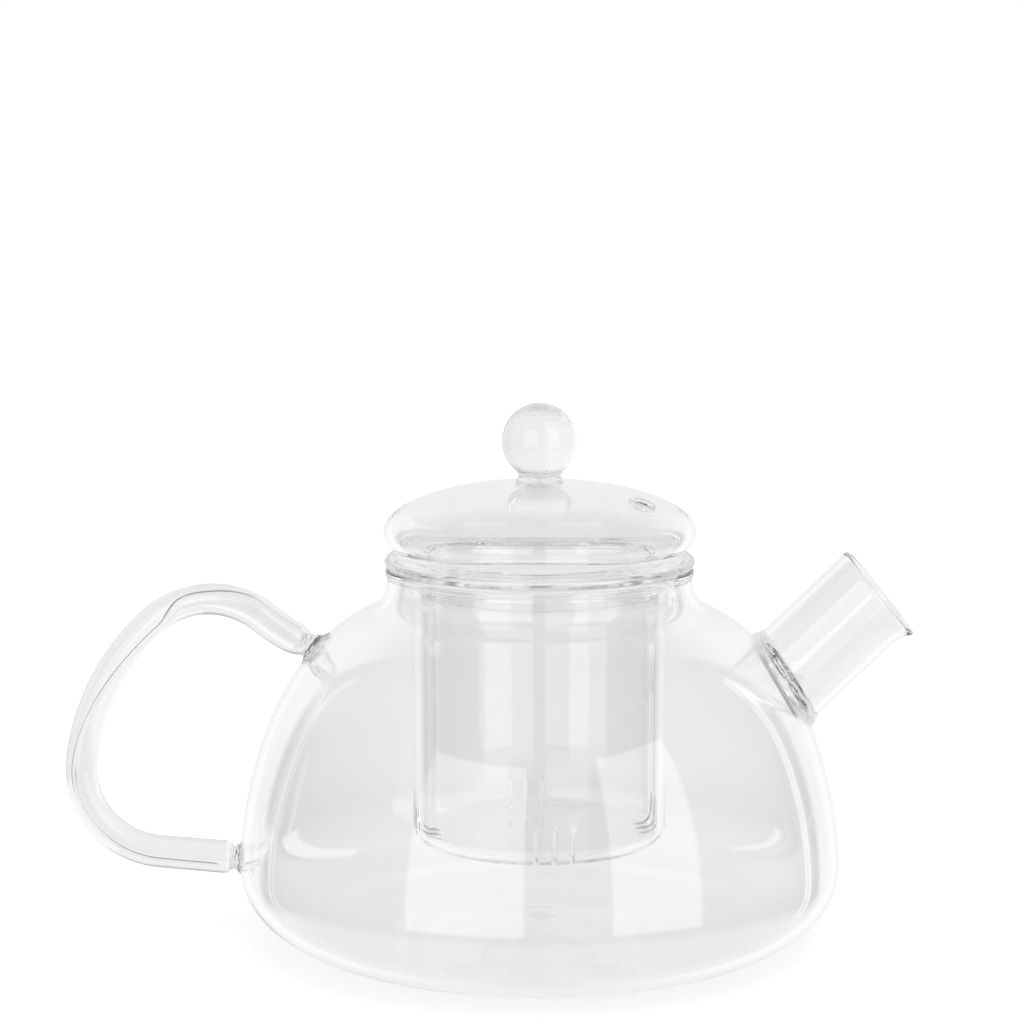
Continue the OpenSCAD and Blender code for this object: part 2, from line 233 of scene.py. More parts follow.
def make_object(name: str, vertices: Sequence[Vector], faces: Sequence[Sequence[int]]) -> bpy.types.Object:
    """Makes a linked object from points in millimetres, with faces that point out of each closed shell.

    Args:
        name: The object's name.
        vertices: The points.
        faces: Indices of each face's corners.

    Returns:
        The new object.
    """
    mesh = bpy.data.meshes.new(name)
    mesh.from_pydata([tuple(c * MM for c in v) for v in vertices], [], [tuple(f) for f in faces])
    work = closed_shell(mesh)
    work.to_mesh(mesh)
    work.free()
    return linked(name, mesh)


def revolve(name: str, profile: Profile, segments: int, closed: bool = False, shift_z: float = 0.0,
            wave: Callable[[Vector], float] | None = None) -> bpy.types.Object:
    """Turns a profile round the vertical axis into a closed mesh.

    Args:
        name: The object's name.
        profile: Radius and height of each point; an open one starts and ends on the axis.
        segments: Faces round the axis.
        closed: Whether the profile is a loop clear of the axis.
        shift_z: How far the shape is lifted.
        wave: Outward shift of a point in millimetres, for glass that isn't quite even.

    Returns:
        The new object.
    """
    vertices: list[Vector] = []
    rings: list[list[int]] = []
    for r, z in profile:
        if r < ON_AXIS:
            rings.append([len(vertices)] * segments)
            vertices.append(Vector((0.0, 0.0, z + shift_z)))
            continue
        rings.append(list(range(len(vertices), len(vertices) + segments)))
        for angle in turns(segments):
            point = spoke(angle, r, z + shift_z)
            if wave:
                point = spoke(angle, r + wave(point), z + shift_z)
            vertices.append(point)
    faces = []
    for a, b in zip(rings, rings[1:] + rings[:1] if closed else rings[1:]):
        for i in range(segments):
            k = (i + 1) % segments
            corners = list(dict.fromkeys((a[i], a[k], b[k], b[i])))
            if len(corners) > 2:
                faces.append(corners)
    return make_object(name, vertices, faces)


def grid_loop(name: str, loops: Sequence[Sequence[Vector]], capped: bool = False) -> bpy.types.Object:
    """Skins a row of equal loops of points into a closed mesh.

    Args:
        name: The object's name.
        loops: The loops, each with the same number of points.
        capped: Whether the first and last loops are closed by faces; if not, the last loop joins the first.

    Returns:
        The new object.
    """
    count = len(loops[0])
    vertices = [v for loop in loops for v in loop]
    starts = [i * count for i in range(len(loops))]
    pairs = zip(starts, starts[1:]) if capped else zip(starts, starts[1:] + starts[:1])
    faces = [(a + i, a + (i + 1) % count, b + (i + 1) % count, b + i) for a, b in pairs for i in range(count)]
    if capped:
        faces += [tuple(range(count)), tuple(range(starts[-1], starts[-1] + count))]
    return make_object(name, vertices, faces)


def evaluated(piece: bpy.types.Object) -> None:
    """Turns a piece and its modifiers into a plain mesh.

    Args:
        piece: The piece.
    """
    graph = bpy.context.evaluated_depsgraph_get()
    mesh = bpy.data.meshes.new_from_object(piece.evaluated_get(graph))
    piece.modifiers.clear()
    old = piece.data
    piece.data = mesh
    bpy.data.meshes.remove(old)
    mesh.name = piece.name


def cut(piece: bpy.types.Object, cutter: bpy.types.Object) -> None:
    """Cuts one object's volume out of another and removes the cutter.

    Args:
        piece: The object that is cut.
        cutter: The object whose volume goes.
    """
    modifier = piece.modifiers.new("cut", "BOOLEAN")
    modifier.operation, modifier.solver, modifier.object = "DIFFERENCE", "EXACT", cutter
    evaluated(piece)
    bpy.data.objects.remove(cutter)


def hollow(piece: bpy.types.Object, void: bpy.types.Object) -> None:
    """Puts a sealed void inside a piece, its faces turned inwards, and removes the void's own object.

    Args:
        piece: The piece.
        void: A closed object that lies inside it.
    """
    joined = bmesh.new()
    for part in (piece, void):
        work = closed_shell(part.data)
        if part is void:
            bmesh.ops.reverse_faces(work, faces=work.faces)
        mesh = bpy.data.meshes.new("shell")
        work.to_mesh(mesh)
        work.free()
        joined.from_mesh(mesh)
        bpy.data.meshes.remove(mesh)
    joined.to_mesh(piece.data)
    joined.free()
    bpy.data.objects.remove(void)


def smooth(piece: bpy.types.Object, crease: float = 40.0) -> None:
    """Shades a piece smooth, with a sharp edge only where its faces turn by more than an angle.

    Args:
        piece: The piece.
        crease: The angle in degrees.
    """
    work = bmesh.new()
    work.from_mesh(piece.data)
    for face in work.faces:
        face.smooth = True
    for edge in work.edges:
        edge.smooth = len(edge.link_faces) == 2 and edge.calc_face_angle(0.0) < math.radians(crease)
    work.to_mesh(piece.data)
    work.free()


def along(origin: Vector, lean: float) -> Matrix:
    """Frame at a point whose Z leans from upright towards +X by an angle in degrees."""
    return Matrix.Translation(origin) @ Matrix.Rotation(math.radians(lean), 4, "Y")


# ------------------------------------------------------------------------------------- node trees


@dataclass
class Tree:
    """A node tree under construction, with short calls for its nodes and links."""

    tree: bpy.types.NodeTree

    def add(self, kind: str, settings: dict[str, object] | None = None, **inputs: object) -> bpy.types.Node:
        """Adds a node.

        Args:
            kind: The node's type name.
            settings: Values of its properties.
            inputs: Values or output sockets for its inputs, by name with _ for a space or by index as i0, i1.

        Returns:
            The node.
        """
        node = self.tree.nodes.new(kind)
        for key, value in (settings or {}).items():
            setattr(node, key, value)
        for key, value in inputs.items():
            numbered = key[0] == "i" and key[1:].isdigit()
            socket = node.inputs[int(key[1:]) if numbered else key.replace("_", " ")]
            if isinstance(value, Socket):
                self.tree.links.new(value, socket)
            else:
                socket.default_value = value
        return node

    def maths(self, operation: str, *values: object) -> Socket:
        """Adds a Math node with its inputs in order, numbers or sockets, and gives its output."""
        inputs = {f"i{i}": v for i, v in enumerate(values)}
        return self.add("ShaderNodeMath", {"operation": operation}, **inputs).outputs[0]

    def ramp(self, value: Socket, start: Point, end: Point, soft: bool = True) -> Socket:
        """Adds a Map Range node that goes from one output to another and holds them beyond.

        Args:
            value: The input.
            start: Input and output where the ramp starts.
            end: Input and output where it ends.
            soft: Whether the ramp starts and ends gently.

        Returns:
            Its output.
        """
        settings = {"interpolation_type": "SMOOTHSTEP" if soft else "LINEAR"}
        return self.add("ShaderNodeMapRange", settings, Value=value, From_Min=start[0], From_Max=end[0],
                        To_Min=start[1], To_Max=end[1]).outputs[0]

    def choose(self, factor: Socket, without: object, with_it: object) -> Socket:
        """Adds a Mix node that gives one number at factor 0 and another at factor 1."""
        mix = self.add("ShaderNodeMix", {"data_type": "FLOAT"}, Factor=factor, i2=without, i3=with_it)
        return mix.outputs[0]

    def socket(self, name: str, kind: str, output: bool = False, value: object = None) -> None:
        """Declares an input or output of a group.

        Args:
            name: The socket's name.
            kind: Its type name.
            output: Whether it is an output.
            value: Its default, where it has one.
        """
        made = self.tree.interface.new_socket(name, in_out="OUTPUT" if output else "INPUT", socket_type=kind)
        if value is not None:
            made.default_value = value

    def close(self, geometry: Socket, material: bpy.types.Material) -> None:
        """Ends a geometry tree with real faces in one material.

        Args:
            geometry: What the tree has made.
            material: The material.
        """
        real = self.add("GeometryNodeRealizeInstances", Geometry=geometry).outputs[0]
        dressed = self.add("GeometryNodeSetMaterial", Geometry=real, Material=material).outputs[0]
        self.add("NodeGroupOutput", Geometry=dressed)


def geometry_tree(name: str) -> Tree:
    """Starts a geometry node tree with a geometry input and output.

    Args:
        name: The tree's name.

    Returns:
        The tree.
    """
    tree = Tree(bpy.data.node_groups.new(name, "GeometryNodeTree"))
    tree.socket("Geometry", "NodeSocketGeometry")
    tree.socket("Geometry", "NodeSocketGeometry", output=True)
    return tree


def run_tree(piece: bpy.types.Object, tree: Tree, values: dict[str, object]) -> None:
    """Runs a geometry tree on a piece and keeps the result as its mesh.

    Args:
        piece: The object that carries the tree's input.
        tree: The tree.
        values: Values of its inputs by name.
    """
    modifier = piece.modifiers.new(tree.tree.name, "NODES")
    modifier.node_group = tree.tree
    names = {item.name: item.identifier for item in tree.tree.interface.items_tree if item.in_out == "INPUT"}
    for name, value in values.items():
        modifier[names[name]] = value
    evaluated(piece)


# ------------------------------------------------------------------------------------- finishes


def grey(value: float) -> tuple[float, float, float, float]:
    """An opaque grey."""
    return (value, value, value, 1.0)


def new_material(name: str) -> tuple[bpy.types.Material, Tree]:
    """Starts a material with no nodes.

    Args:
        name: The material's name.

    Returns:
        The material and its tree.
    """
    material = bpy.data.materials.new(name)
    material.use_nodes = True
    material.node_tree.nodes.clear()
    return material, Tree(material.node_tree)


SOFT_NOISE = {"Scale": 1.0, "Detail": 1.0, "Roughness": 0.4}
FINE_NOISE = {"Scale": 3.1, "Detail": 2.0, "Roughness": 0.5}


def striae_group() -> bpy.types.NodeTree:
    """Shader group for the faint unevenness of drawn and blown glass.

    Returns:
        A group that gives a height and a tone from the piece's own coordinates.
    """
    shade = Tree(bpy.data.node_groups.new("glass_striae", "ShaderNodeTree"))
    for name, value in (("Cells", 40.0), ("Stretch", 0.4), ("Swirl", 0.0)):
        shade.socket(name, "NodeSocketFloat", value=value)
    for name in ("Tone", "Shade"):
        shade.socket(name, "NodeSocketColor", value=grey(1.0))
    shade.socket("Height", "NodeSocketFloat", output=True)
    shade.socket("Colour", "NodeSocketColor", output=True)
    given = shade.add("NodeGroupInput").outputs
    place = shade.add("ShaderNodeTexCoord").outputs["Object"]
    drawn = shade.add("ShaderNodeCombineXYZ", X=given["Cells"], Y=given["Cells"],
                      Z=shade.maths("MULTIPLY", given["Cells"], given["Stretch"])).outputs[0]
    spot = shade.add("ShaderNodeVectorMath", {"operation": "MULTIPLY"}, i0=place, i1=drawn).outputs[0]
    soft = shade.add("ShaderNodeTexNoise", Vector=spot, **SOFT_NOISE).outputs[0]
    fine = shade.add("ShaderNodeTexNoise", Vector=spot, Distortion=given["Swirl"], **FINE_NOISE).outputs[0]
    height = shade.maths("ADD", soft, shade.maths("MULTIPLY", fine, given["Swirl"]))
    colour = shade.add("ShaderNodeMix", {"data_type": "RGBA"}, Factor=soft, i6=given["Tone"],
                       i7=given["Shade"])
    shade.add("NodeGroupOutput", Height=height, Colour=colour.outputs[2])
    return shade.tree


@dataclass(frozen=True)
class GlassFinish:
    """A finish of colourless borosilicate glass, from a light grey to a darker one where it is uneven."""

    name: str
    light: float
    dark: float
    cells: float  # in a metre
    stretch: float  # cells upwards for each one sideways
    relief: float  # millimetres
    swirl: float = 0.0
    roughness: float = 0.0
    ior: float = 1.47

    def build(self, striae: bpy.types.NodeTree) -> bpy.types.Material:
        """Makes the material.

        Args:
            striae: The shader group for uneven glass.

        Returns:
            The material.
        """
        material, shade = new_material(self.name)
        wavy = shade.add("ShaderNodeGroup", {"node_tree": striae}, Cells=self.cells, Stretch=self.stretch,
                         Swirl=self.swirl, Tone=grey(self.light), Shade=grey(self.dark)).outputs
        bump = shade.add("ShaderNodeBump", Strength=1.0, Distance=self.relief * MM, Height=wavy["Height"])
        glass = shade.add("ShaderNodeBsdfPrincipled", Base_Color=wavy["Colour"], Metallic=0.0,
                          Roughness=self.roughness, IOR=self.ior, Transmission_Weight=1.0,
                          Normal=bump.outputs[0])
        shade.add("ShaderNodeOutputMaterial", Surface=glass.outputs[0])
        return material


BLOWN = GlassFinish("blown_glass", 0.986, 0.968, cells=28.0, stretch=0.5, relief=0.035)
DRAWN = GlassFinish("drawn_tube_glass", 0.986, 0.968, cells=60.0, stretch=0.15, relief=0.02)
FLAMED = GlassFinish("flame_worked_seam", 0.974, 0.868, cells=240.0, stretch=0.8, relief=0.14, swirl=1.2,
                     ior=1.22)
ROD = GlassFinish("bent_rod_glass", 0.986, 0.964, cells=50.0, stretch=0.3, relief=0.02)


def dress(piece: bpy.types.Object, material: bpy.types.Material, body: Body, slot: Slot, *nodes: str) -> None:
    """Gives a finished piece its material and its body, and hides the imported nodes that it stands for.

    Args:
        piece: The piece.
        material: Its material.
        body: The body it rides on.
        slot: Not used.
        nodes: The nodes it replaces.
    """
    piece.data.materials.clear()
    piece.data.materials.append(material)
    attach(piece, body.value)
    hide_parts(*nodes)


@dataclass
class Finishes:
    """All the glass finishes, built once."""

    blown: bpy.types.Material
    drawn: bpy.types.Material
    flamed: bpy.types.Material
    rod: bpy.types.Material

    @classmethod
    def build(cls) -> Finishes:
        """Builds the shared group and the materials that use it."""
        striae = striae_group()
        return cls(BLOWN.build(striae), DRAWN.build(striae), FLAMED.build(striae), ROD.build(striae))


# ------------------------------------------------------------------------------------- the pot


@dataclass
class Bowl:
    """The blown bowl with its neck, rolled rim and pushed-up foot."""

    height: float = 99.5
    radius: float = 80.0
    belly_z: float = 20.0
    foot_r: float = 54.5
    punt_r: float = 42.0
    punt_h: float = 2.2
    neck_r: float = 40.4
    neck_h: float = 3.8
    neck_curve: float = 8.8
    slope: float = 23.4
    belly_pull: float = 11.2
    shoulder_pull: float = 31.2
    wall: float = 2.2
    foot_margins: Pair = (4.0, 3.0)  # from the foot's flat ring in to the punt and out to the side
    bead_r: float = 1.35
    bead_out: float = 0.4
    bead_turn: Pair = (-32.0, 205.0)
    bead_lead: tuple[Point, ...] = ((0.0, 1.9), (0.02, 1.1))  # out from the neck, down from the bead's middle
    throat_lead: Pair = (1.2, 2.2)  # down from the bead's middle
    pip_r: float = 4.9
    pip_h: float = 0.5
    moat_at: float = 1.15  # share of pip_r
    moat_sharp: float = 3.0
    moat_depth: float = 0.5  # share of pip_h
    waver: float = 0.10
    waver_scale: float = 0.022
    waver_r: float = 40.0
    waver_from: float = 0.6  # share of the wall from its outside past which a point is on the inner face
    punt_steps: int = 24
    foot_steps: int = 24
    side_steps: int = 56
    neck_steps: int = 14
    bead_steps: int = 26
    segments: int = 224
    side: Profile = field(default_factory=list)

    def __post_init__(self) -> None:
        """Works out the side's profile, which everything fused to the bowl follows."""
        curve_c = (self.neck_r + self.neck_curve, self.height - self.neck_h)
        a = math.radians(self.slope)
        top = (curve_c[0] - self.neck_curve * math.sin(a), curve_c[1] - self.neck_curve * math.cos(a))
        pull = (top[0] + self.shoulder_pull * math.cos(a), top[1] - self.shoulder_pull * math.sin(a))
        belly = (self.radius, self.belly_z)
        self.side = (
            ellipse_points((self.foot_r, self.belly_z), self.radius - self.foot_r, self.belly_z, -90, 0,
                           self.foot_steps)
            + cubic_points(belly, (belly[0], belly[1] + self.belly_pull), pull, top, self.side_steps)[1:]
            + ellipse_points(curve_c, self.neck_curve, self.neck_curve, 270 - self.slope, 180,
                             self.neck_steps)[1:]
        )

    def outside(self, height: float) -> float:
        """Outer radius of the bowl at a height."""
        return lookup(self.side, height)

    def holds(self, p: Vector) -> bool:
        """Whether a point lies inside the bowl's outside."""
        return math.hypot(p.x, p.y) < self.outside(p.z)

    def reach(self, start: Vector, direction: Vector, span: float = 20.0, halvings: int = 40) -> float:
        """Distance from a point along a direction to the bowl's outside, within a span on either side."""
        near, far = crossing(-span, span, lambda d: not self.holds(start + direction * d), halvings)
        return (near + far) / 2

    def profile(self) -> Profile:
        """Draws the whole section from under the foot, up the outside, over the rim and down the inside.

        Returns:
            The section, from the axis round to the axis.
        """
        spots = [self.punt_r * i / self.punt_steps for i in range(self.punt_steps + 1)]
        punt = [(r, self.punt_h * math.cos(math.pi * r / (2 * self.punt_r)) ** 2) for r in spots]
        flat = [(self.punt_r + self.foot_margins[0], 0.0), (self.foot_r - self.foot_margins[1], 0.0)]
        outer = [*punt, *flat, *self.side]
        rim_r, rim_z = self.neck_r + self.bead_out - self.bead_r, self.height - self.bead_r
        neck = [(self.neck_r + out, rim_z - down) for out, down in self.bead_lead]
        bead = ellipse_points((rim_r, rim_z), self.bead_r, self.bead_r, *self.bead_turn, self.bead_steps)
        throat = [(self.neck_r - self.wall, rim_z - down) for down in self.throat_lead]
        inner = inset(outer, self.wall)
        base = len(punt) + len(flat)
        floor = [(r, z + self.pip(r)) for r, z in inner[1:base]]
        middle = (0.0, self.punt_h + self.wall + self.pip(0.0))
        return [*outer, *neck, *bead, *throat, *reversed(inner[base:]), *reversed(floor), middle]

    def pip(self, r: float) -> float:
        """Height of the little dimple that the blower's iron leaves on the floor."""
        moat = math.exp(-((self.moat_sharp * (r / self.pip_r - self.moat_at)) ** 2))
        return self.pip_h * (math.exp(-((r / self.pip_r) ** 2)) - self.moat_depth * moat)

    def uneven(self, p: Vector) -> float:
        """How far the blown inner face stands out of true.

        Args:
            p: A point of the bowl.

        Returns:
            The outward shift there, none on the outer face.
        """
        r = math.hypot(p.x, p.y)
        if r >= self.outside(p.z) - self.waver_from * self.wall:
            return 0.0
        return self.waver * noise.noise(p * self.waver_scale) * min(1.0, r / self.waver_r)

    def build(self, glass: Finishes, hole: bpy.types.Object) -> list[bpy.types.Object]:
        """Builds and dresses the bowl.

        Args:
            glass: The finishes.
            hole: The plug that opens its side under the spout.

        Returns:
            The bowl.
        """
        piece = revolve("bowl_glass", self.profile(), self.segments, wave=self.uneven)
        cut(piece, hole)
        smooth(piece)
        dress(piece, glass.blown, Body.POT, Slot.CLEAR, "pot_bowl")
        return [piece]


@dataclass
class Spout:
    """The straight spout tube with its pinched pouring lip, and the seam that fuses it to the bowl."""

    bowl: Bowl
    radius: float = 13.0
    wall: float = 1.7
    rise: float = 44.5
    root_z: float = 69.7
    length: float = 34.8
    tilt: float = 5.0
    lip_len: float = 6.0
    lip_out: float = 2.1
    lip_half: float = 34.0
    lip_curve: float = 2.2
    lip_inside: float = 0.92  # share of the lip's throw that the bore follows
    mouth_skew: float = 2.8
    mouth_round: float = 0.9  # height of the mouth's rounded edge as a share of its half width
    hole_flare: float = 2.0
    hole_inset: float = 1.3
    hole_deep: float = 15.2
    hole_top: float = 3.5
    seam_up: float = 3.1
    seam_up_play: float = 0.16
    seam_out: float = 1.15
    seam_out_play: float = 0.22
    seam_swell: float = 0.14
    seam_ripple: float = 0.16
    seam_fine: float = 1.4  # strength of the fine ripple beside the coarse one
    seam_waves: float = 1.5
    seam_drift: float = 0.35
    up_ring: Pair = (2.6, 0.3)  # pace and row of the ring that the play in a size wanders by
    out_ring: Pair = (3.1, 5.0)
    drift_ring: Pair = (3.0, 9.0)
    fine_pace: float = 8.0
    fine_rows: Pair = (3.4, 1.3)  # rows that the fine ripple passes across the face and across the pot
    seam_lean: Pair = (0.8, 0.6)  # how far a ripple stands out and up
    segments: int = 192

    def frame(self) -> Matrix:
        """Frame at the spout's root, +Z along the tube and +X towards its lower side."""
        return along(Vector((self.bowl.outside(self.root_z), 0.0, self.root_z)), 90 - self.rise)

    def axis(self) -> Vector:
        """Direction of the tube."""
        return self.frame().to_3x3() @ Vector((0.0, 0.0, 1.0))

    def hole_cutter(self) -> bpy.types.Object:
        """Makes the tapered plug that opens the bowl's glass under the tube.

        Returns:
            The plug, which the bowl's build uses up.
        """
        bore = self.radius - self.wall - self.hole_inset
        widest = bore + (self.hole_deep + self.hole_top) * math.tan(math.radians(self.hole_flare))
        frame = self.frame()
        loops = []
        for radius, z in ((widest, -self.hole_deep), (bore, self.hole_top)):
            loops.append([frame @ spoke(a, radius, z) for a in turns(self.segments)])
        return grid_loop("spout_hole", loops, capped=True)

    def root(self, radius: float, angle: float) -> float:
        """Distance along the tube at which a line at a radius from its middle meets the bowl's outside."""
        return self.bowl.reach(self.frame() @ spoke(angle, radius), self.axis())

    def lip(self, angle: float, back: float) -> float:
        """How far the pinched lip stands out.

        Args:
            angle: Where round the mouth.
            back: Distance back from the mouth.

        Returns:
            The throw, most at the lower side.
        """
        turned = math.degrees(math.atan2(math.sin(angle), math.cos(angle)))
        near = max(0.0, 1 - back / self.lip_len)
        return self.lip_out * near**self.lip_curve * math.exp(-((turned / self.lip_half) ** 2))

    def mouth(self, angle: float) -> float:
        """Distance along the tube of the mouth's edge at an angle; its cut is a little out of square."""
        dip = math.tan(math.radians(self.tilt)) * (1 + math.cos(angle))
        return self.length - self.radius * (dip - math.tan(math.radians(self.mouth_skew)) * math.sin(angle))

    def build_tube(self) -> bpy.types.Object:
        """Builds the tube, from the bowl's outside to its rounded mouth.

        Returns:
            The tube.
        """
        frame, bore, half = self.frame(), self.radius - self.wall, self.wall / 2
        steps, edge_steps = 26, 8
        loops = []
        for angle in turns(self.segments):
            foot_out = self.root(self.radius, angle) + AIR_GAP
            foot_in = self.root(bore, angle) + AIR_GAP
            edge_z = self.mouth(angle) - half
            section: Profile = []
            for i in range(steps + 1):
                z = foot_out + (edge_z - foot_out) * i / steps
                section.append((self.radius + self.lip(angle, edge_z - z), z))
            middle = self.radius - half + self.lip(angle, 0.0)
            for i in range(1, edge_steps):
                a = math.pi * i / edge_steps
                section.append((middle + half * math.cos(a), edge_z + half * self.mouth_round * math.sin(a)))
            for i in range(steps + 1):
                z = edge_z + (foot_in - edge_z) * i / steps
                section.append((bore + self.lip_inside * self.lip(angle, edge_z - z), z))
            out = spoke(angle)
            loops.append([frame @ (out * r + Vector((0.0, 0.0, z))) for r, z in section])
        piece = grid_loop("spout_glass", loops)
        smooth(piece)
        return piece

    def ripple(self, out: Vector, t: float) -> float:
        """How proud the seam's rippled face stands.

        Args:
            out: The direction from the tube's middle.
            t: Place across the face, from 0 at the tube to 1 at the bowl.

        Returns:
            The height of the ripple.
        """
        fine = wander(out, self.fine_pace, self.fine_rows[0] * t + self.fine_rows[1] * out.y)
        drift = self.seam_drift * wander(out, *self.drift_ring)
        coarse = math.sin(2 * math.pi * (self.seam_waves * t + drift))
        return math.sin(math.pi * t) * (self.seam_swell + self.seam_ripple * (coarse + self.seam_fine * fine))

    def build_seam(self) -> bpy.types.Object:
        """Builds the uneven bead of fused glass round the root.

        Returns:
            The seam.
        """
        frame, axis = self.frame(), self.axis()
        side_steps, face_steps = 3, 12
        loops = []
        for out in map(spoke, turns(self.segments)):
            up = self.seam_up * (1 + self.seam_up_play * wander(out, *self.up_ring))
            wide = self.seam_out * (1 + self.seam_out_play * wander(out, *self.out_ring))
            spots = [(0.0, up * k / side_steps) for k in range(side_steps)]
            for k in range(face_steps + 1):
                t = k / face_steps
                proud = self.ripple(out, t)
                spots.append((wide * t + self.seam_lean[0] * proud, up * (1 - t) + self.seam_lean[1] * proud))
            spots.append((wide * 0.5, 0.0))
            loop = []
            for across, rise in spots:
                start = frame @ (out * (self.radius + AIR_GAP + across))
                loop.append(start + axis * (self.bowl.reach(start, axis) + AIR_GAP + rise))
            loops.append(loop)
        piece = grid_loop("spout_seam", loops)
        smooth(piece, SEAM_CREASE)
        return piece

    def build(self, glass: Finishes) -> list[bpy.types.Object]:
        """Builds and dresses the spout's pieces.

        Args:
            glass: The finishes.

        Returns:
            The tube and its seam.
        """
        tube, seam = self.build_tube(), self.build_seam()
        dress(tube, glass.drawn, Body.POT, Slot.CLEAR, "spout")
        dress(seam, glass.flamed, Body.POT, Slot.FUSED, "spout_weld")
        return [tube, seam]


class End(Enum):
    """The two ends of the handle."""

    LOWER = "lower"
    UPPER = "upper"


@dataclass
class Handle:
    """The bent glass tube of the handle, sealed at both ends, and its two fused necks."""

    bowl: Bowl
    low_d: float = 8.8
    top_d: float = 7.6
    swell: float = 0.6
    swell_back: float = 12.0
    swell_width: float = 16.0
    lower_tip: Pair = (1.6, 0.80)  # length of the rounded end, and what it leaves of the girth
    upper_tip: Pair = (4.6, 0.66)
    thread_d: float = 0.95
    crown_bore_d: float = 3.5
    end_bore_d: float = 5.2
    bore_opens: float = 99.0
    bore_opening: float = 11.0
    bore_widens: float = 113.0
    bore_widening: float = 15.0
    bore_drift: tuple[Point, ...] = (
        (0.0, 1.7), (45.0, 1.5), (99.0, -1.6), (110.0, 0.0), (128.0, 0.4), (146.0, 0.4),
    )  # length along the route, shift outwards from the loop
    bore_tips: Pair = (2.0, 2.6)  # length of the bore's rounded lower and upper end
    bore_least: float = 0.06
    lower_seal: float = 3.0
    upper_seal: float = 1.0
    root_z: float = 20.2
    rise: float = 5.0
    end_gap: float = 3.1
    neck_len: float = 2.7
    neck_d: float = 6.8
    neck_waist: float = 0.10
    neck_waist_pace: float = 1.5
    neck_spread: Pair = (1.5, 2.1)  # how far the lower and the upper neck widen on to the bowl
    neck_flare_at: float = 0.35
    neck_flare_curve: float = 2.2
    neck_twist: float = 1.3
    neck_strands: tuple[tuple[float, float, float, float], ...] = (
        (0.16, 3, 9.0, 0.0), (0.10, 7, -14.0, 1.0),
    )  # height, count round the neck, turn along it and start in radians
    neck_ripple: float = 0.17
    neck_coil: tuple[float, float, float] = (15.0, 0.8, 2.0)  # turn along it, its waver and wavers round it
    bends: tuple[Point, ...] = ((22.7, 93.0), (61.7, 39.6), (22.8, 81.9), (53.4, -13.9))  # radius, turn
    run_rounds: int = 6
    rings: int = 300
    crowding: float = 0.14  # how much closer the rings stand towards the two ends
    sides: int = 48
    bore_sides: int = 32
    neck_rings: int = 30
    neck_sides: int = 64

    def station(self, length: float) -> tuple[float, float, float]:
        """Finds a place on the route.

        Args:
            length: How far along the route.

        Returns:
            Its distance from the pot's axis, its height and its heading in degrees.
        """
        run = min(length, self.run())
        x = self.bowl.radius + self.neck_len + run * math.cos(math.radians(self.rise))
        z = self.root_z + run * math.sin(math.radians(self.rise))
        return self.bent(x, z, length - run)

    def bent(self, x: float, z: float, length: float) -> tuple[float, float, float]:
        """Follows the bends from a place at the end of the straight run.

        Args:
            x: The place's distance from the pot's axis.
            z: Its height.
            length: How far along the bends; the last bend goes on beyond its end.

        Returns:
            The distance, height and heading reached.
        """
        heading = self.rise
        for radius, turn in self.bends:
            full = radius * math.radians(abs(turn))
            part = length / full
            if (radius, turn) != self.bends[-1]:
                part = min(1.0, part)
            r = math.copysign(radius, turn)
            after = heading + turn * part
            x += r * (math.sin(math.radians(after)) - math.sin(math.radians(heading)))
            z -= r * (math.cos(math.radians(after)) - math.cos(math.radians(heading)))
            heading = after
            length -= full * part
            if length <= SPENT:
                break
        return x, z, heading

    def bends_len(self) -> float:
        """Length of all the bends."""
        return sum(r * math.radians(abs(turn)) for r, turn in self.bends)

    def run(self) -> float:
        """Works out the straight lower run that leaves the upper end at its gap from the shoulder.

        Returns:
            The run's length.
        """
        dx, dz, _ = self.bent(0.0, 0.0, self.bends_len())
        run = 0.0
        for _ in range(self.run_rounds):
            level = self.root_z + dz + run * math.sin(math.radians(self.rise))
            short = self.bowl.outside(level) + self.end_gap - self.bowl.radius - self.neck_len - dx
            run = short / math.cos(math.radians(self.rise))
        return run

    def length(self) -> float:
        """Length of the whole route."""
        return self.run() + self.bends_len()

    def girth(self, s: float) -> float:
        """Outer radius of the tube, with its rounded ends.

        Args:
            s: Length along the route.

        Returns:
            The radius there.
        """
        total = self.length()
        base = (self.low_d + (self.top_d - self.low_d) * s / total) / 2
        base += self.swell * math.exp(-(((total - self.swell_back - s) / self.swell_width) ** 2))
        lower = s < total / 2
        near = s if lower else total - s
        tip, least = self.lower_tip if lower else self.upper_tip
        if near >= tip:
            return base
        return base * (least + (1 - least) * math.sqrt(1 - (1 - near / tip) ** 2))

    def bore_girth(self, s: float) -> float:
        """Radius of the sealed bore: a thread in the lower half that opens at the crown and widens above it.

        Args:
            s: Length along the route.

        Returns:
            The radius there.
        """
        total = self.length()
        near = min(s - self.lower_seal, total - self.upper_seal - s)
        tip = self.bore_tips[0] if s < total / 2 else self.bore_tips[1]
        part = 1.0 if near >= tip else math.sqrt(max(0.0, 1 - (1 - near / tip) ** 2))
        opened = ease((s - self.bore_opens) / self.bore_opening)
        grown = ease((s - self.bore_widens) / self.bore_widening)
        wide = self.thread_d + (self.crown_bore_d - self.thread_d) * opened
        wide += (self.end_bore_d - self.crown_bore_d) * grown
        return wide / 2 * max(part, self.bore_least)

    def bore_shift(self, s: float) -> float:
        """How far the bore lies off the tube's middle.

        Args:
            s: Length along the route.

        Returns:
            The shift, outwards from the loop.
        """
        for (s0, d0), (s1, d1) in zip(self.bore_drift, self.bore_drift[1:]):
            if s <= s1:
                return d0 + (d1 - d0) * ease((s - s0) / (s1 - s0))
        return self.bore_drift[-1][1]

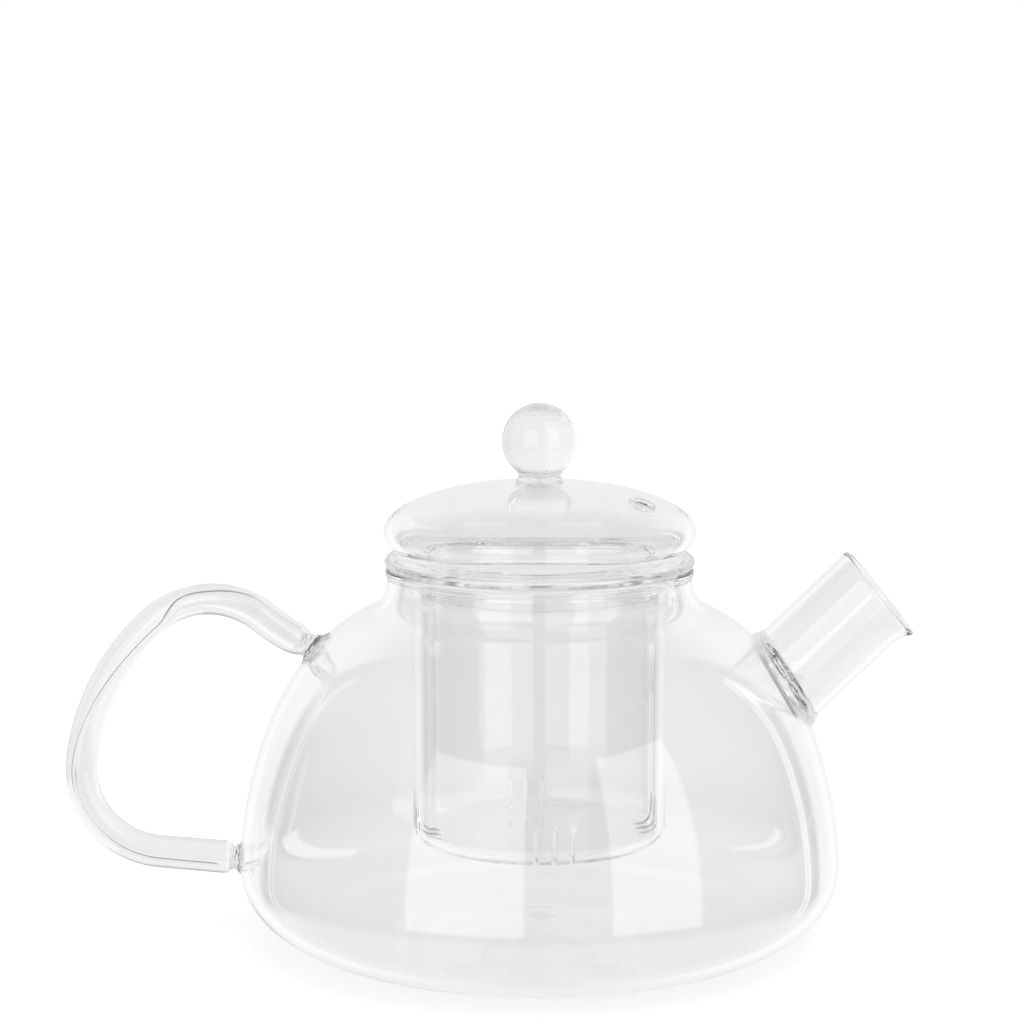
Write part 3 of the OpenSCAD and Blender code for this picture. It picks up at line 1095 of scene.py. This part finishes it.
    def tube(self, name: str, ends: Pair, girth: Callable[[float], float],
             shift: Callable[[float], float], sweep: Tree, sides: int) -> bpy.types.Object:
        """Sweeps a round tube along part of the route.

        Args:
            name: The object's name.
            ends: Lengths along the route at which it starts and ends.
            girth: Its radius at a length.
            shift: How far it lies off the route at a length, outwards from the loop.
            sweep: The geometry tree that sweeps it.
            sides: Faces round it.

        Returns:
            The tube, closed at both ends.
        """
        lengths = []
        for i in range(self.rings + 1):
            t = i / self.rings
            lengths.append(ends[0] + (ends[1] - ends[0]) * (t - self.crowding * math.sin(2 * math.pi * t)))
        points = []
        for s in lengths:
            x, z, heading = self.station(s)
            a, off = math.radians(heading), shift(s)
            points.append((-(x + off * math.sin(a)) * MM, 0.0, (z - off * math.cos(a)) * MM))
        mesh = bpy.data.meshes.new(name)
        mesh.from_pydata(points, [(i, i + 1) for i in range(len(points) - 1)], [])
        scale = mesh.attributes.new("girth", "FLOAT", "POINT")
        scale.data.foreach_set("value", [girth(s) * MM for s in lengths])
        piece = linked(name, mesh)
        run_tree(piece, sweep, {"Sides": sides})
        return piece

    def build_tube(self, material: bpy.types.Material) -> bpy.types.Object:
        """Builds the tube with its sealed bore.

        Args:
            material: Its glass.

        Returns:
            The tube.
        """
        sweep = sweep_tree(material)
        total = self.length()
        piece = self.tube("handle_glass", (0.0, total), self.girth, lambda s: 0.0, sweep, self.sides)
        ends = (self.lower_seal, total - self.upper_seal)
        bore = self.tube("handle_bore", ends, self.bore_girth, self.bore_shift, sweep, self.bore_sides)
        hollow(piece, bore)
        smooth(piece, SEAM_CREASE)
        return piece

    def neck_girth(self, t: float, a: float, spread: float) -> float:
        """Radius of a fused neck, with its waist, its flare and its twisted skin.

        Args:
            t: Place along the neck, from 0 at the handle to 1 at the bowl.
            a: Angle round it.
            spread: How far it widens on to the bowl.

        Returns:
            The radius there.
        """
        narrowed = math.sin(math.pi * min(1.0, self.neck_waist_pace * t))
        waist = self.neck_d / 2 * (1 - self.neck_waist * narrowed)
        widened = max(0.0, (t - self.neck_flare_at) / (1 - self.neck_flare_at))
        flare = spread * widened**self.neck_flare_curve
        twist = sum(h * math.sin(n * a + turn * t + start) for h, n, turn, start in self.neck_strands)
        turn, waver, count = self.neck_coil
        ring = self.neck_ripple * math.sin(turn * t + waver * math.sin(count * a))
        return waist + flare + (self.neck_twist * twist + ring) * math.sin(math.pi * t)

    def gap(self, start: Vector, ahead: Vector, stride: float = 0.5, strides: int = 60,
            halvings: int = 30) -> float:
        """Distance from a point outside the bowl, along a direction, to the bowl's outside.

        Args:
            start: The point.
            ahead: The direction.
            stride: Length of the first, coarse steps.
            strides: How many of them are tried.
            halvings: How often the stride that crosses the bowl's outside is halved.

        Returns:
            The distance.
        """
        near, far = 0.0, stride * strides
        for i in range(1, strides + 1):
            if self.bowl.holds(start + ahead * (stride * i)):
                near, far = stride * (i - 1), stride * i
                break
        return crossing(near, far, lambda d: self.bowl.holds(start + ahead * d), halvings)[0]

    def build_neck(self, end: End) -> bpy.types.Object:
        """Builds one of the twisted necks of glass that fuse the handle to the bowl.

        Args:
            end: Which end of the handle it is at.

        Returns:
            The neck.
        """
        upper = end is End.UPPER
        x, z, heading = self.station(self.length() if upper else 0.0)
        angle = math.radians(heading if upper else heading + 180)
        ahead = Vector((-math.cos(angle), 0.0, math.sin(angle)))
        side = Vector((0.0, 1.0, 0.0))
        lift = ahead.cross(side)
        start, spread = Vector((-x, 0.0, z)), self.neck_spread[1 if upper else 0]
        loops = []
        for i in range(self.neck_rings + 1):
            t = i / self.neck_rings
            loop = []
            for a in turns(self.neck_sides):
                out = side * math.cos(a) + lift * math.sin(a)
                base = start + out * self.neck_girth(t, a, spread) + ahead * AIR_GAP
                loop.append(base + ahead * ((self.gap(base, ahead) - AIR_GAP) * t))
            loops.append(loop)
        piece = grid_loop(f"handle_{end.value}_seam", loops, capped=True)
        smooth(piece, SEAM_CREASE)
        return piece

    def build(self, glass: Finishes) -> list[bpy.types.Object]:
        """Builds and dresses the handle's pieces.

        Args:
            glass: The finishes.

        Returns:
            The tube and its two necks.
        """
        tube = self.build_tube(glass.rod)
        upper, lower = self.build_neck(End.UPPER), self.build_neck(End.LOWER)
        dress(tube, glass.rod, Body.POT, Slot.CLEAR, "handle")
        dress(upper, glass.flamed, Body.POT, Slot.FUSED, "handle_upper_weld")
        dress(lower, glass.flamed, Body.POT, Slot.FUSED, "handle_lower_weld")
        return [tube, upper, lower]


def sweep_tree(material: bpy.types.Material) -> Tree:
    """Geometry tree that sweeps a circle along a path whose points carry their radius as girth.

    Args:
        material: The swept tube's glass.

    Returns:
        The tree.
    """
    tree = geometry_tree("swept_tube")
    tree.socket("Sides", "NodeSocketInt", value=32)
    given = tree.add("NodeGroupInput").outputs
    path = tree.add("GeometryNodeMeshToCurve", Mesh=given["Geometry"])
    ring = tree.add("GeometryNodeCurvePrimitiveCircle", Resolution=given["Sides"], Radius=1.0)
    girth = tree.add("GeometryNodeInputNamedAttribute", {"data_type": "FLOAT"}, Name="girth")
    tube = tree.add("GeometryNodeCurveToMesh", Curve=path.outputs[0], Profile_Curve=ring.outputs[0],
                    Scale=girth.outputs[0], Fill_Caps=True)
    tree.close(tube.outputs[0], material)
    return tree


# ------------------------------------------------------------------------------------- the infuser


@dataclass
class Infuser:
    """The glass infuser that hangs in the neck, with saw-cut slits round its bottom corner."""

    bottom_z: float = 25.95
    height: float = 76.0
    radius: float = 33.7
    wall: float = 1.8
    corner: float = 4.5
    flange_r: float = 41.0
    flange_t: float = 2.0
    bead_d: float = 2.4
    root_curve: float = 2.75
    flare_curve: float = 4.0
    slit_groups: int = 4
    slits: int = 3
    slit_w: float = 1.0
    pitch: float = 4.6
    climb: float = 10.5  # how far a slit goes up the wall
    reach: float = 7.5  # how far it goes in under the bottom
    turn: float = 6.5  # place of the first group round the cup
    bead_turn: Pair = (-105.0, 120.0)
    floor_rings: tuple[float, ...] = (8.0, 16.0, 24.0)
    wall_rings: tuple[float, ...] = (14.0, 26.0, 38.0, 50.0, 60.0)
    corner_steps: int = 12
    inner_corner_steps: int = 10
    root_steps: int = 10
    bead_steps: int = 20
    flare_steps: int = 12
    segments: int = 192

    def profile(self) -> Profile:
        """Draws the whole section from under the bottom, up the outside, over the flange and down inside.

        Returns:
            The section, from the axis round to the axis.
        """
        inner_r = self.radius - self.wall
        bead_c = (self.flange_r - self.bead_d / 2, self.height - self.flange_t / 2)
        under_z = self.height - self.flange_t
        root_c = (self.radius + self.root_curve, under_z - self.root_curve)
        flare_c = (inner_r + self.flare_curve, self.height - self.flare_curve)
        corner_c = (self.radius - self.corner, self.corner)
        inner_corner = self.corner - self.wall
        return [
            (0.0, 0.0),
            *((r, 0.0) for r in self.floor_rings),
            *ellipse_points(corner_c, self.corner, self.corner, -90, 0, self.corner_steps),
            *((self.radius, z) for z in self.wall_rings),
            *ellipse_points(root_c, self.root_curve, self.root_curve, 180, 90, self.root_steps),
            *ellipse_points(bead_c, self.bead_d / 2, self.bead_d / 2, *self.bead_turn, self.bead_steps),
            *ellipse_points(flare_c, self.flare_curve, self.flare_curve, 90, 180, self.flare_steps),
            *((inner_r, z) for z in reversed(self.wall_rings)),
            *ellipse_points(corner_c, inner_corner, inner_corner, 0, -90, self.inner_corner_steps),
            *((r, self.wall) for r in reversed(self.floor_rings)),
            (0.0, self.wall),
        ]

    def slit_tree(self, material: bpy.types.Material) -> Tree:
        """Geometry tree that saws groups of parallel slits across the bottom corner.

        Args:
            material: The sawn piece's glass.

        Returns:
            The tree.
        """
        tree = geometry_tree("sawn_slits")
        for name in ("Groups", "Slits"):
            tree.socket(name, "NodeSocketInt", value=1)
        for name in ("Pitch", "Width", "Radius", "Climb", "Reach", "Turn", "Lift"):
            tree.socket(name, "NodeSocketFloat")
        given = tree.add("NodeGroupInput").outputs
        count = tree.maths("MULTIPLY", given["Groups"], given["Slits"])
        spots = tree.add("GeometryNodeMeshLine", Count=count).outputs[0]
        index = tree.add("GeometryNodeInputIndex").outputs[0]
        group = tree.maths("FLOOR", tree.maths("DIVIDE", index, given["Slits"]))
        row = tree.maths("SUBTRACT", index, tree.maths("MULTIPLY", group, given["Slits"]))
        middle = tree.maths("DIVIDE", tree.maths("SUBTRACT", given["Slits"], 1.0), 2.0)
        across = tree.maths("MULTIPLY", tree.maths("SUBTRACT", row, middle), given["Pitch"])
        step = tree.maths("DIVIDE", 2 * math.pi, given["Groups"])
        turn = tree.maths("ADD", given["Turn"], tree.maths("MULTIPLY", group, step))
        place = tree.add("ShaderNodeCombineXYZ", X=given["Radius"], Y=across,
                         Z=tree.maths("ADD", given["Lift"], given["Climb"])).outputs[0]
        turned = tree.add("ShaderNodeVectorRotate", {"rotation_type": "Z_AXIS"}, Vector=place,
                          Angle=turn).outputs[0]
        points = tree.add("GeometryNodeSetPosition", Geometry=spots, Position=turned).outputs[0]
        lean = tree.maths("ADD", math.pi / 2, tree.maths("ARCTAN2", given["Reach"], given["Climb"]))
        angles = tree.add("ShaderNodeCombineXYZ", X=0.0, Y=lean, Z=turn).outputs[0]
        long = tree.maths("MULTIPLY", tree.maths("ADD", given["Climb"], given["Reach"]), 2.0)
        size = tree.add("ShaderNodeCombineXYZ", X=long, Y=given["Width"],
                        Z=tree.maths("DIVIDE", long, 2.0)).outputs[0]
        block = tree.add("GeometryNodeMeshCube", Size=size).outputs[0]
        shift = tree.add("ShaderNodeCombineXYZ", Z=tree.maths("DIVIDE", long, 4.0)).outputs[0]
        saw = tree.add("GeometryNodeTransform", Geometry=block, Translation=shift).outputs[0]
        saws = tree.add("GeometryNodeInstanceOnPoints", Points=points, Instance=saw, Rotation=angles)
        real = tree.add("GeometryNodeRealizeInstances", Geometry=saws.outputs[0]).outputs[0]
        sawn = tree.add("GeometryNodeMeshBoolean", {"operation": "DIFFERENCE", "solver": "EXACT"},
                        Mesh_1=given["Geometry"], Mesh_2=real).outputs[0]
        tree.close(sawn, material)
        return tree

    def build(self, glass: Finishes) -> list[bpy.types.Object]:
        """Builds the infuser, saws its slits and dresses it.

        Args:
            glass: The finishes.

        Returns:
            The infuser.
        """
        piece = revolve("infuser_glass", self.profile(), self.segments, shift_z=self.bottom_z)
        run_tree(piece, self.slit_tree(glass.drawn), {
            "Groups": self.slit_groups, "Slits": self.slits, "Pitch": self.pitch * MM,
            "Width": self.slit_w * MM, "Radius": self.radius * MM, "Climb": self.climb * MM,
            "Reach": self.reach * MM, "Turn": math.radians(self.turn), "Lift": self.bottom_z * MM,
        })
        smooth(piece)
        dress(piece, glass.drawn, Body.INFUSER, Slot.CLEAR, "infuser")
        return [piece]


# ------------------------------------------------------------------------------------- the lid


@dataclass
class Lid:
    """The hollow domed lid, its collar, ball knob and steam vent."""

    widest_z: float = 108.978
    radius: float = 41.25
    rise: float = 12.9
    drop: float = 12.8
    wall: float = 2.0
    collar_r: float = 31.35
    collar_drop: float = 16.4
    collar_len: float = 6.4
    knob_r: float = 10.0
    knob_neck: float = 0.9
    seam_r: float = 6.5
    vent_r: float = 2.0
    vent_place: float = 0.727  # share of the radius
    vent_turn: float = -28.0
    vent_ring: float = 1.7
    vent_ring_play: float = 0.12
    vent_wander: Pair = (2.0, 7.0)  # pace and row of the ring that the play wanders by
    collar_edge: float = 0.45  # height of the collar's rounded edge as a share of its wall
    collar_step: float = 2.5
    knob_play: float = 0.06
    knob_play_scale: float = 0.11
    seam_play: float = 0.05
    seam_play_scale: float = 1.7
    seam_head: float = 0.93  # share of seam_r at which the ring meets the ball
    seam_waist: float = 0.55
    seam_core: float = 0.4
    seeds: tuple[tuple[Spot, float], ...] = (
        ((1.6, -4.0, -6.4), 0.24), ((2.5, -3.0, -7.6), 0.20),
    )  # place of each tiny bubble from the ball's middle, and its radius
    dome_steps: int = 60
    skirt_steps: int = 16
    edge_steps: int = 16
    segments: int = 192
    knob_steps: int = 72
    knob_segments: int = 144
    seed_steps: int = 10
    seed_segments: int = 16
    vent_segments: int = 48
    ring_segments: int = 96
    ring_sides: int = 20

    def dome_z(self, r: float) -> float:
        """Height of the dome's top above the widest ring, at a radius."""
        return self.rise * math.sqrt(max(0.0, 1 - (r / self.radius) ** 2))

    def profile(self) -> Profile:
        """Draws the dome's whole section, from its top down the outside, round the skirt and up the inside.

        Returns:
            The section, from the axis round to the axis.
        """
        bore = self.collar_r - self.wall
        inner = self.radius - self.wall
        skirt = self.collar_len - self.collar_drop
        under = math.degrees(math.acos(self.collar_r / self.radius))
        inner_turn = math.degrees(math.acos(bore / inner))
        return [
            (0.0, self.rise),
            *ellipse_points((0.0, 0.0), self.radius, self.rise, 90, 0, self.dome_steps)[1:],
            *ellipse_points((0.0, 0.0), self.radius, self.drop, 0, -under, self.skirt_steps)[1:],
            (self.collar_r, skirt + AIR_GAP), (bore, skirt + AIR_GAP),
            *ellipse_points((0.0, 0.0), inner, self.drop - self.wall, -inner_turn, 0, self.skirt_steps),
            *ellipse_points((0.0, 0.0), inner, self.rise - self.wall, 0, 90, self.dome_steps)[1:-1],
            (0.0, self.rise - self.wall),
        ]

    def vent_frame(self) -> Matrix:
        """Frame on the dome at the steam vent.

        Returns:
            The matrix from the frame, whose +Z is square to the glass.
        """
        r = self.vent_place * self.radius
        z = self.dome_z(r)
        lean = math.atan2(r / self.radius**2, z / self.rise**2)
        return (Matrix.Rotation(math.radians(self.vent_turn), 4, "Z")
                @ Matrix.Translation((r, 0.0, z + self.widest_z)) @ Matrix.Rotation(lean, 4, "Y"))

    def build_dome(self) -> bpy.types.Object:
        """Builds the dome with its vent.

        Returns:
            The dome.
        """
        piece = revolve("lid_dome_glass", self.profile(), self.segments, shift_z=self.widest_z)
        frame, deep = self.vent_frame(), 2 * self.wall
        around = turns(self.vent_segments)
        drill = [[frame @ spoke(a, self.vent_r, z) for a in around] for z in (-deep, deep)]
        cut(piece, grid_loop("vent_drill", drill, capped=True))
        smooth(piece)
        return piece

    def build_collar(self) -> bpy.types.Object:
        """Builds the collar tube with its fire-rounded lower edge.

        Returns:
            The collar.
        """
        bore, top = self.collar_r - self.wall, self.collar_len - self.collar_drop
        edge_h = self.collar_edge * self.wall
        middle = ((self.collar_r + bore) / 2, edge_h - self.collar_drop)
        edge = ellipse_points(middle, self.wall / 2, edge_h, 180, 360, self.edge_steps)
        below = top - self.collar_step
        section = [(bore, top), (bore, below), *edge, (self.collar_r, below), (self.collar_r, top)]
        piece = revolve("lid_collar_glass", section, self.segments, closed=True, shift_z=self.widest_z)
        smooth(piece)
        return piece

    def knob_z(self) -> float:
        """Height of the ball's middle above the dome's widest ring."""
        return self.rise + self.knob_neck + self.knob_r

    def under_knob(self, r: float) -> float:
        """Height of the ball's underside above the dome's widest ring, at a radius."""
        return self.knob_z() - math.sqrt(self.knob_r**2 - r**2) - AIR_GAP

    def build_knob(self) -> bpy.types.Object:
        """Builds the solid ball knob, a little less than perfectly round, with tiny bubbles in it.

        Returns:
            The knob.
        """
        centre = self.widest_z + self.knob_z()
        ball = ball_section(self.knob_r, self.knob_steps)
        piece = revolve("lid_knob_glass", ball, self.knob_segments, shift_z=centre,
                        wave=lambda p: -self.knob_play * (1 + noise.noise(p * self.knob_play_scale)))
        for (x, y, z), radius in self.seeds:
            seed = revolve("seed", ball_section(radius, self.seed_steps), self.seed_segments)
            seed.data.transform(Matrix.Translation(Vector((x, y, z + centre)) * MM))
            hollow(piece, seed)
        smooth(piece)
        return piece

    def build_knob_seam(self) -> bpy.types.Object:
        """Builds the ring of fused glass under the ball, hollowed towards it.

        Returns:
            The ring.
        """
        steps, head = 8, self.seam_head * self.seam_r
        top_z = self.under_knob(head)
        loops = []
        for out in map(spoke, turns(self.segments)):
            foot = self.seam_r * (1 + self.seam_play * noise.noise(out * self.seam_play_scale))
            section: Profile = []
            for k in range(steps + 1):
                t = k / steps
                waist = self.seam_waist * math.sin(math.pi * t)
                z = top_z + (self.dome_z(foot) + AIR_GAP - top_z) * t
                section.append((head + (foot - head) * t - waist, z))
            for k in range(steps + 1):
                r = foot * (1 - k / steps) + self.seam_core * k / steps
                section.append((r, self.dome_z(r) + AIR_GAP))
            for k in range(steps + 1):
                r = self.seam_core + (head - self.seam_core) * k / steps
                section.append((r, self.under_knob(r)))
            loops.append([out * r + Vector((0.0, 0.0, z + self.widest_z)) for r, z in section])
        piece = grid_loop("lid_knob_seam", loops)
        smooth(piece, SEAM_CREASE)
        return piece

    def build_vent_ring(self) -> bpy.types.Object:
        """Builds the raised ring round the vent, seated on the curved dome.

        Returns:
            The ring.
        """
        frame = self.vent_frame()
        major, minor = self.vent_r + self.vent_ring / 2, self.vent_ring / 2
        loops = []
        for a in turns(self.ring_segments):
            thick = minor * (1 + self.vent_ring_play * wander(spoke(a), *self.vent_wander))
            loop = []
            for b in turns(self.ring_sides):
                p = frame @ spoke(a, major + thick * math.cos(b), thick * math.sin(b))
                p.z = max(p.z, self.dome_z(math.hypot(p.x, p.y)) + self.widest_z + AIR_GAP)
                loop.append(p)
            loops.append(loop)
        piece = grid_loop("lid_vent_seam", loops)
        smooth(piece, SEAM_CREASE)
        return piece

    def build(self, glass: Finishes) -> list[bpy.types.Object]:
        """Builds and dresses the lid's pieces.

        Args:
            glass: The finishes.

        Returns:
            The dome, its collar, the knob, its seam and the vent's ring.
        """
        dome, collar, knob = self.build_dome(), self.build_collar(), self.build_knob()
        seam, ring = self.build_knob_seam(), self.build_vent_ring()
        dress(dome, glass.blown, Body.LID, Slot.CLEAR, "lid_dome")
        dress(collar, glass.drawn, Body.LID, Slot.CLEAR, "lid_collar")
        dress(knob, glass.rod, Body.LID, Slot.CLEAR, "lid_knob")
        dress(seam, glass.flamed, Body.LID, Slot.FUSED, "lid_knob_weld")
        dress(ring, glass.flamed, Body.LID, Slot.FUSED, "lid_vent_ring")
        return [dome, collar, knob, seam, ring]


# ------------------------------------------------------------------------------------- the set


@dataclass(frozen=True)
class Softbox:
    """A rectangular studio light far off, placed by its direction from the teapot in degrees.

    An inner one shows only in what the glass mirrors deep inside the pot, and not on its outer face.
    """

    azimuth: float
    elevation: float
    width: float
    height: float
    strength: float
    inner: bool = False
    edge: float = 0.012  # half the softness of its edges in radians

    def within(self, shade: Tree, angle: Socket, middle: float, size: float) -> Socket:
        """Adds the nodes that are 1 where an angle lies on the light and 0 beside it.

        Args:
            shade: The world's tree.
            angle: The angle in radians.
            middle: The light's middle in degrees.
            size: Its size in degrees.

        Returns:
            The output.
        """
        half = math.radians(size / 2)
        off = shade.maths("ABSOLUTE", shade.maths("SUBTRACT", angle, math.radians(middle)))
        return shade.ramp(off, (half - self.edge, 1.0), (half + self.edge, 0.0), soft=False)

    def light(self, shade: Tree, azimuth: Socket, elevation: Socket, deep: Socket) -> Socket:
        """Adds the nodes for what the light gives in a direction.

        Args:
            shade: The world's tree.
            azimuth: The direction's azimuth in radians.
            elevation: Its elevation in radians.
            deep: 1 for rays that have gone through several faces of glass, and 0 for others.

        Returns:
            The light's strength there.
        """
        level = self.within(shade, azimuth, self.azimuth, self.width)
        lit = shade.maths("MULTIPLY", level, self.within(shade, elevation, self.elevation, self.height))
        lit = shade.maths("MULTIPLY", lit, self.strength)
        return shade.maths("MULTIPLY", lit, deep) if self.inner else lit


@dataclass
class Floor:
    """The pale floor, which gives the glass on it a little more or less light from place to place: a painted
    contact shadow and painted shade in its glow.

    Each of the last four ramps runs from one place to another, in metres behind or beside the pot's middle;
    together they paint that shadow and shade.
    """

    radius: float = 3000.0
    drop: float = 0.05
    sides: int = 96
    paper: Pair = (0.30, 0.32)
    grain: float = 60.0
    bounce: float = 0.06
    seen_glow: float = 0.84
    # painted contact shadow: the glow that rays through the glass see is darker under the pot and in front of
    # its middle
    under: tuple[Point, Point] = ((-0.04, 0.83), (0.04, 0.93))
    # painted shade: that glow grows dimmer further behind the pot
    far: tuple[Point, Point] = ((0.06, 1.0), (0.16, 0.94))
    # painted shade: a darker patch of that glow on the pot's left, fading out behind it
    left: tuple[Point, Point] = ((-0.09, 0.05), (-0.03, 0.0))
    painted_shade_left_end: tuple[Point, Point] = ((0.22, 1.0), (0.34, 0.0))

    def material(self) -> bpy.types.Material:
        """Makes the floor's finish, which lets rays that the glass mirrors pass to the studio below it and
        paints a contact shadow and shade into its glow for other rays.

        Returns:
            The material.
        """
        material, shade = new_material("pale_floor")
        light_path = shade.add("ShaderNodeLightPath").outputs
        seen, spot = light_path["Is Camera Ray"], shade.add("ShaderNodeTexCoord").outputs["Object"]
        grain = shade.add("ShaderNodeTexNoise", Vector=spot, Scale=self.grain, Detail=2.0).outputs[0]
        paper = shade.add("ShaderNodeMix", {"data_type": "RGBA"}, Factor=grain, i6=grey(self.paper[0]),
                          i7=grey(self.paper[1])).outputs[2]
        tone = shade.add("ShaderNodeMix", {"data_type": "RGBA"}, Factor=seen, i6=grey(self.bounce), i7=paper)
        aside, back = shade.add("ShaderNodeSeparateXYZ", Vector=spot).outputs[:2]
        # painted contact shadow and painted shade in the glow for rays other than the camera's
        under = shade.maths("MULTIPLY", shade.ramp(back, *self.under), shade.ramp(back, *self.far))
        left = shade.maths("MULTIPLY", shade.ramp(aside, *self.left), shade.ramp(back, *self.painted_shade_left_end))
        glow_with_painted_shade = shade.choose(seen, shade.maths("SUBTRACT", under, left), self.seen_glow)
        matt = shade.add("ShaderNodeBsdfDiffuse", Color=tone.outputs[2]).outputs[0]
        lamp = shade.add("ShaderNodeEmission", Strength=glow_with_painted_shade).outputs[0]
        both = shade.add("ShaderNodeAddShader", i0=matt, i1=lamp).outputs[0]
        clear = shade.add("ShaderNodeBsdfTransparent").outputs[0]
        mirrored = shade.maths("MINIMUM", light_path["Glossy Depth"], 1.0)
        shown = shade.add("ShaderNodeMixShader", i0=mirrored, i1=both, i2=clear).outputs[0]
        shade.add("ShaderNodeOutputMaterial", Surface=shown)
        return material

    def build(self) -> None:
        """Builds the floor."""
        vertices = [spoke(a, self.radius, -self.drop) for a in turns(self.sides)]
        piece = make_object("floor", vertices, [tuple(range(self.sides))])
        piece.data.materials.append(self.material())


@dataclass
class Studio:
    """The studio's soft light, its floor and the camera."""

    boxes: tuple[Softbox, ...] = (
        Softbox(-28.5, 12.0, 45.0, 50.0, 1.65),
        Softbox(44.5, 13.0, 36.0, 52.0, 1.65),
        Softbox(122.5, 3.0, 2.6, 60.0, 1.9),
        Softbox(-123.0, 5.0, 1.8, 56.0, 1.2),
        Softbox(122.0, 19.0, 13.0, 56.0, 2.0, inner=True),
        Softbox(-115.0, 17.0, 4.5, 50.0, 2.0, inner=True),
    )
    backdrop: float = 0.91
    backdrop_half: float = 48.0
    backdrop_edge: float = 0.05  # half the softness of its sides in radians
    table_end: Pair = (-0.50, -0.20)  # sines of the elevations over which the bright table gives way
    window_light: Pair = (0.97, 1.10)
    window_turn: Pair = (0.15, 0.50)  # radians from straight behind over which it changes
    room: float = 0.10
    inner_room: float = 0.27
    ceiling: float = 0.30
    ceiling_rise: Pair = (0.45, 0.85)  # sines of the elevations over which the ceiling begins
    deep_faces: float = 2.5  # faces of glass past which the inner softboxes show
    lamp_at: Spot = (0.25, -0.35, 1.3)
    lamp_aim: Spot = (0.0, 0.0, 0.05)
    lamp_size: Pair = (1.2, 0.9)
    lamp_power: float = 9.0
    camera_at: Spot = (-7.3, -758.0, 225.0)
    camera_pitch: float = 8.34
    camera_focus: float = 2903.0  # focal length in pixels of a render whose side is the next one
    render_side: float = 1024.0
    sensor: float = 36.0
    bounces: int = 96

    def mirrored(self, shade: Tree, way: bpy.types.NodeOutputs, lifted: Socket, passed: Socket) -> Socket:
        """Adds the nodes for what the glass mirrors: the bright backdrop, the softboxes and the dark room.

        Args:
            shade: The world's tree.
            way: The direction's X, Y and Z.
            lifted: The strength of the backdrop and the ceiling at its elevation.
            passed: How many faces of glass the ray has gone through.

        Returns:
            The strength of the light from that direction.
        """
        azimuth = shade.maths("ARCTAN2", way["X"], shade.maths("MULTIPLY", way["Y"], -1.0))
        elevation = shade.maths("ARCSINE", way["Z"])
        behind = shade.maths("ABSOLUTE", shade.maths("ARCTAN2", way["X"], way["Y"]))
        half, edge = math.radians(self.backdrop_half), self.backdrop_edge
        window = shade.ramp(behind, (half - edge, 1.0), (half + edge, 0.0))
        low = shade.ramp(way["Z"], (self.table_end[0], 1.0), (self.table_end[1], 0.0))
        fuller = shade.ramp(behind, *zip(self.window_turn, self.window_light))
        level = shade.maths("MULTIPLY", lifted, shade.maths("MAXIMUM", window, low))
        level = shade.maths("MULTIPLY", level, fuller)
        inside = shade.maths("MINIMUM", passed, 1.0)
        level = shade.maths("MAXIMUM", level, shade.choose(inside, self.room, self.inner_room))
        deep = shade.maths("GREATER_THAN", passed, self.deep_faces)
        for box in self.boxes:
            level = shade.maths("MAXIMUM", level, box.light(shade, azimuth, elevation, deep))
        return level

    def world(self) -> None:
        """Builds the surroundings: white past the glass, and a studio where the glass mirrors it."""
        world = bpy.data.worlds.new("studio")
        bpy.context.scene.world = world
        world.use_nodes = True
        world.node_tree.nodes.clear()
        shade = Tree(world.node_tree)
        generated = shade.add("ShaderNodeTexCoord").outputs["Generated"]
        way = shade.add("ShaderNodeSeparateXYZ", Vector=generated).outputs
        light_path = shade.add("ShaderNodeLightPath").outputs
        lifted = shade.ramp(way["Z"], *zip(self.ceiling_rise, (self.backdrop, self.ceiling)))
        mirrored = self.mirrored(shade, way, lifted, light_path["Transmission Depth"])
        glossy = shade.maths("MINIMUM", light_path["Glossy Depth"], 1.0)
        seen = shade.choose(glossy, lifted, mirrored)
        shown = shade.choose(light_path["Is Camera Ray"], seen, 1.0)
        light = shade.add("ShaderNodeBackground", Color=grey(1.0), Strength=shown)
        shade.add("ShaderNodeOutputWorld", Surface=light.outputs[0])

    def lamp(self) -> None:
        """Adds the broad overhead lamp that gives the floor its soft shadow."""
        data = bpy.data.lights.new("overhead", "AREA")
        data.shape, data.energy = "RECTANGLE", self.lamp_power
        data.size, data.size_y = self.lamp_size
        lamp = linked("overhead", data)
        lamp.location = self.lamp_at
        aim = Vector(self.lamp_aim) - Vector(self.lamp_at)
        lamp.rotation_euler = aim.to_track_quat("-Z", "Y").to_euler()
        lamp.visible_glossy = lamp.visible_transmission = lamp.visible_camera = False

    def camera(self) -> None:
        """Places the camera."""
        data = bpy.data.cameras.new("camera")
        data.sensor_width = self.sensor
        data.lens = self.camera_focus * self.sensor / self.render_side
        camera = linked("camera", data)
        camera.location = tuple(c * MM for c in self.camera_at)
        camera.rotation_euler = (math.radians(90 - self.camera_pitch), 0.0, 0.0)
        bpy.context.scene.camera = camera

    def build(self) -> None:
        """Builds the whole set."""
        scene = bpy.context.scene
        scene.view_settings.view_transform = "Standard"
        for limit in ("max_bounces", "transmission_bounces", "glossy_bounces"):
            setattr(scene.cycles, limit, self.bounces)
        self.camera()
        self.world()
        Floor().build()
        self.lamp()


def main() -> None:
    """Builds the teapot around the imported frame."""
    logging.basicConfig(level=logging.INFO, format="%(name)s: %(message)s")
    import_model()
    Studio().build()
    glass = Finishes.build()

    bowl = Bowl()
    spout = Spout(bowl)
    pieces = [
        *bowl.build(glass, spout.hole_cutter()),
        *spout.build(glass),
        *Handle(bowl).build(glass),
        *Infuser().build(glass),
        *Lid().build(glass),
    ]
    for piece in pieces:
        LOG.info("%s: %d faces", piece.name, len(piece.data.polygons))


if __name__ == "__main__":
    main()
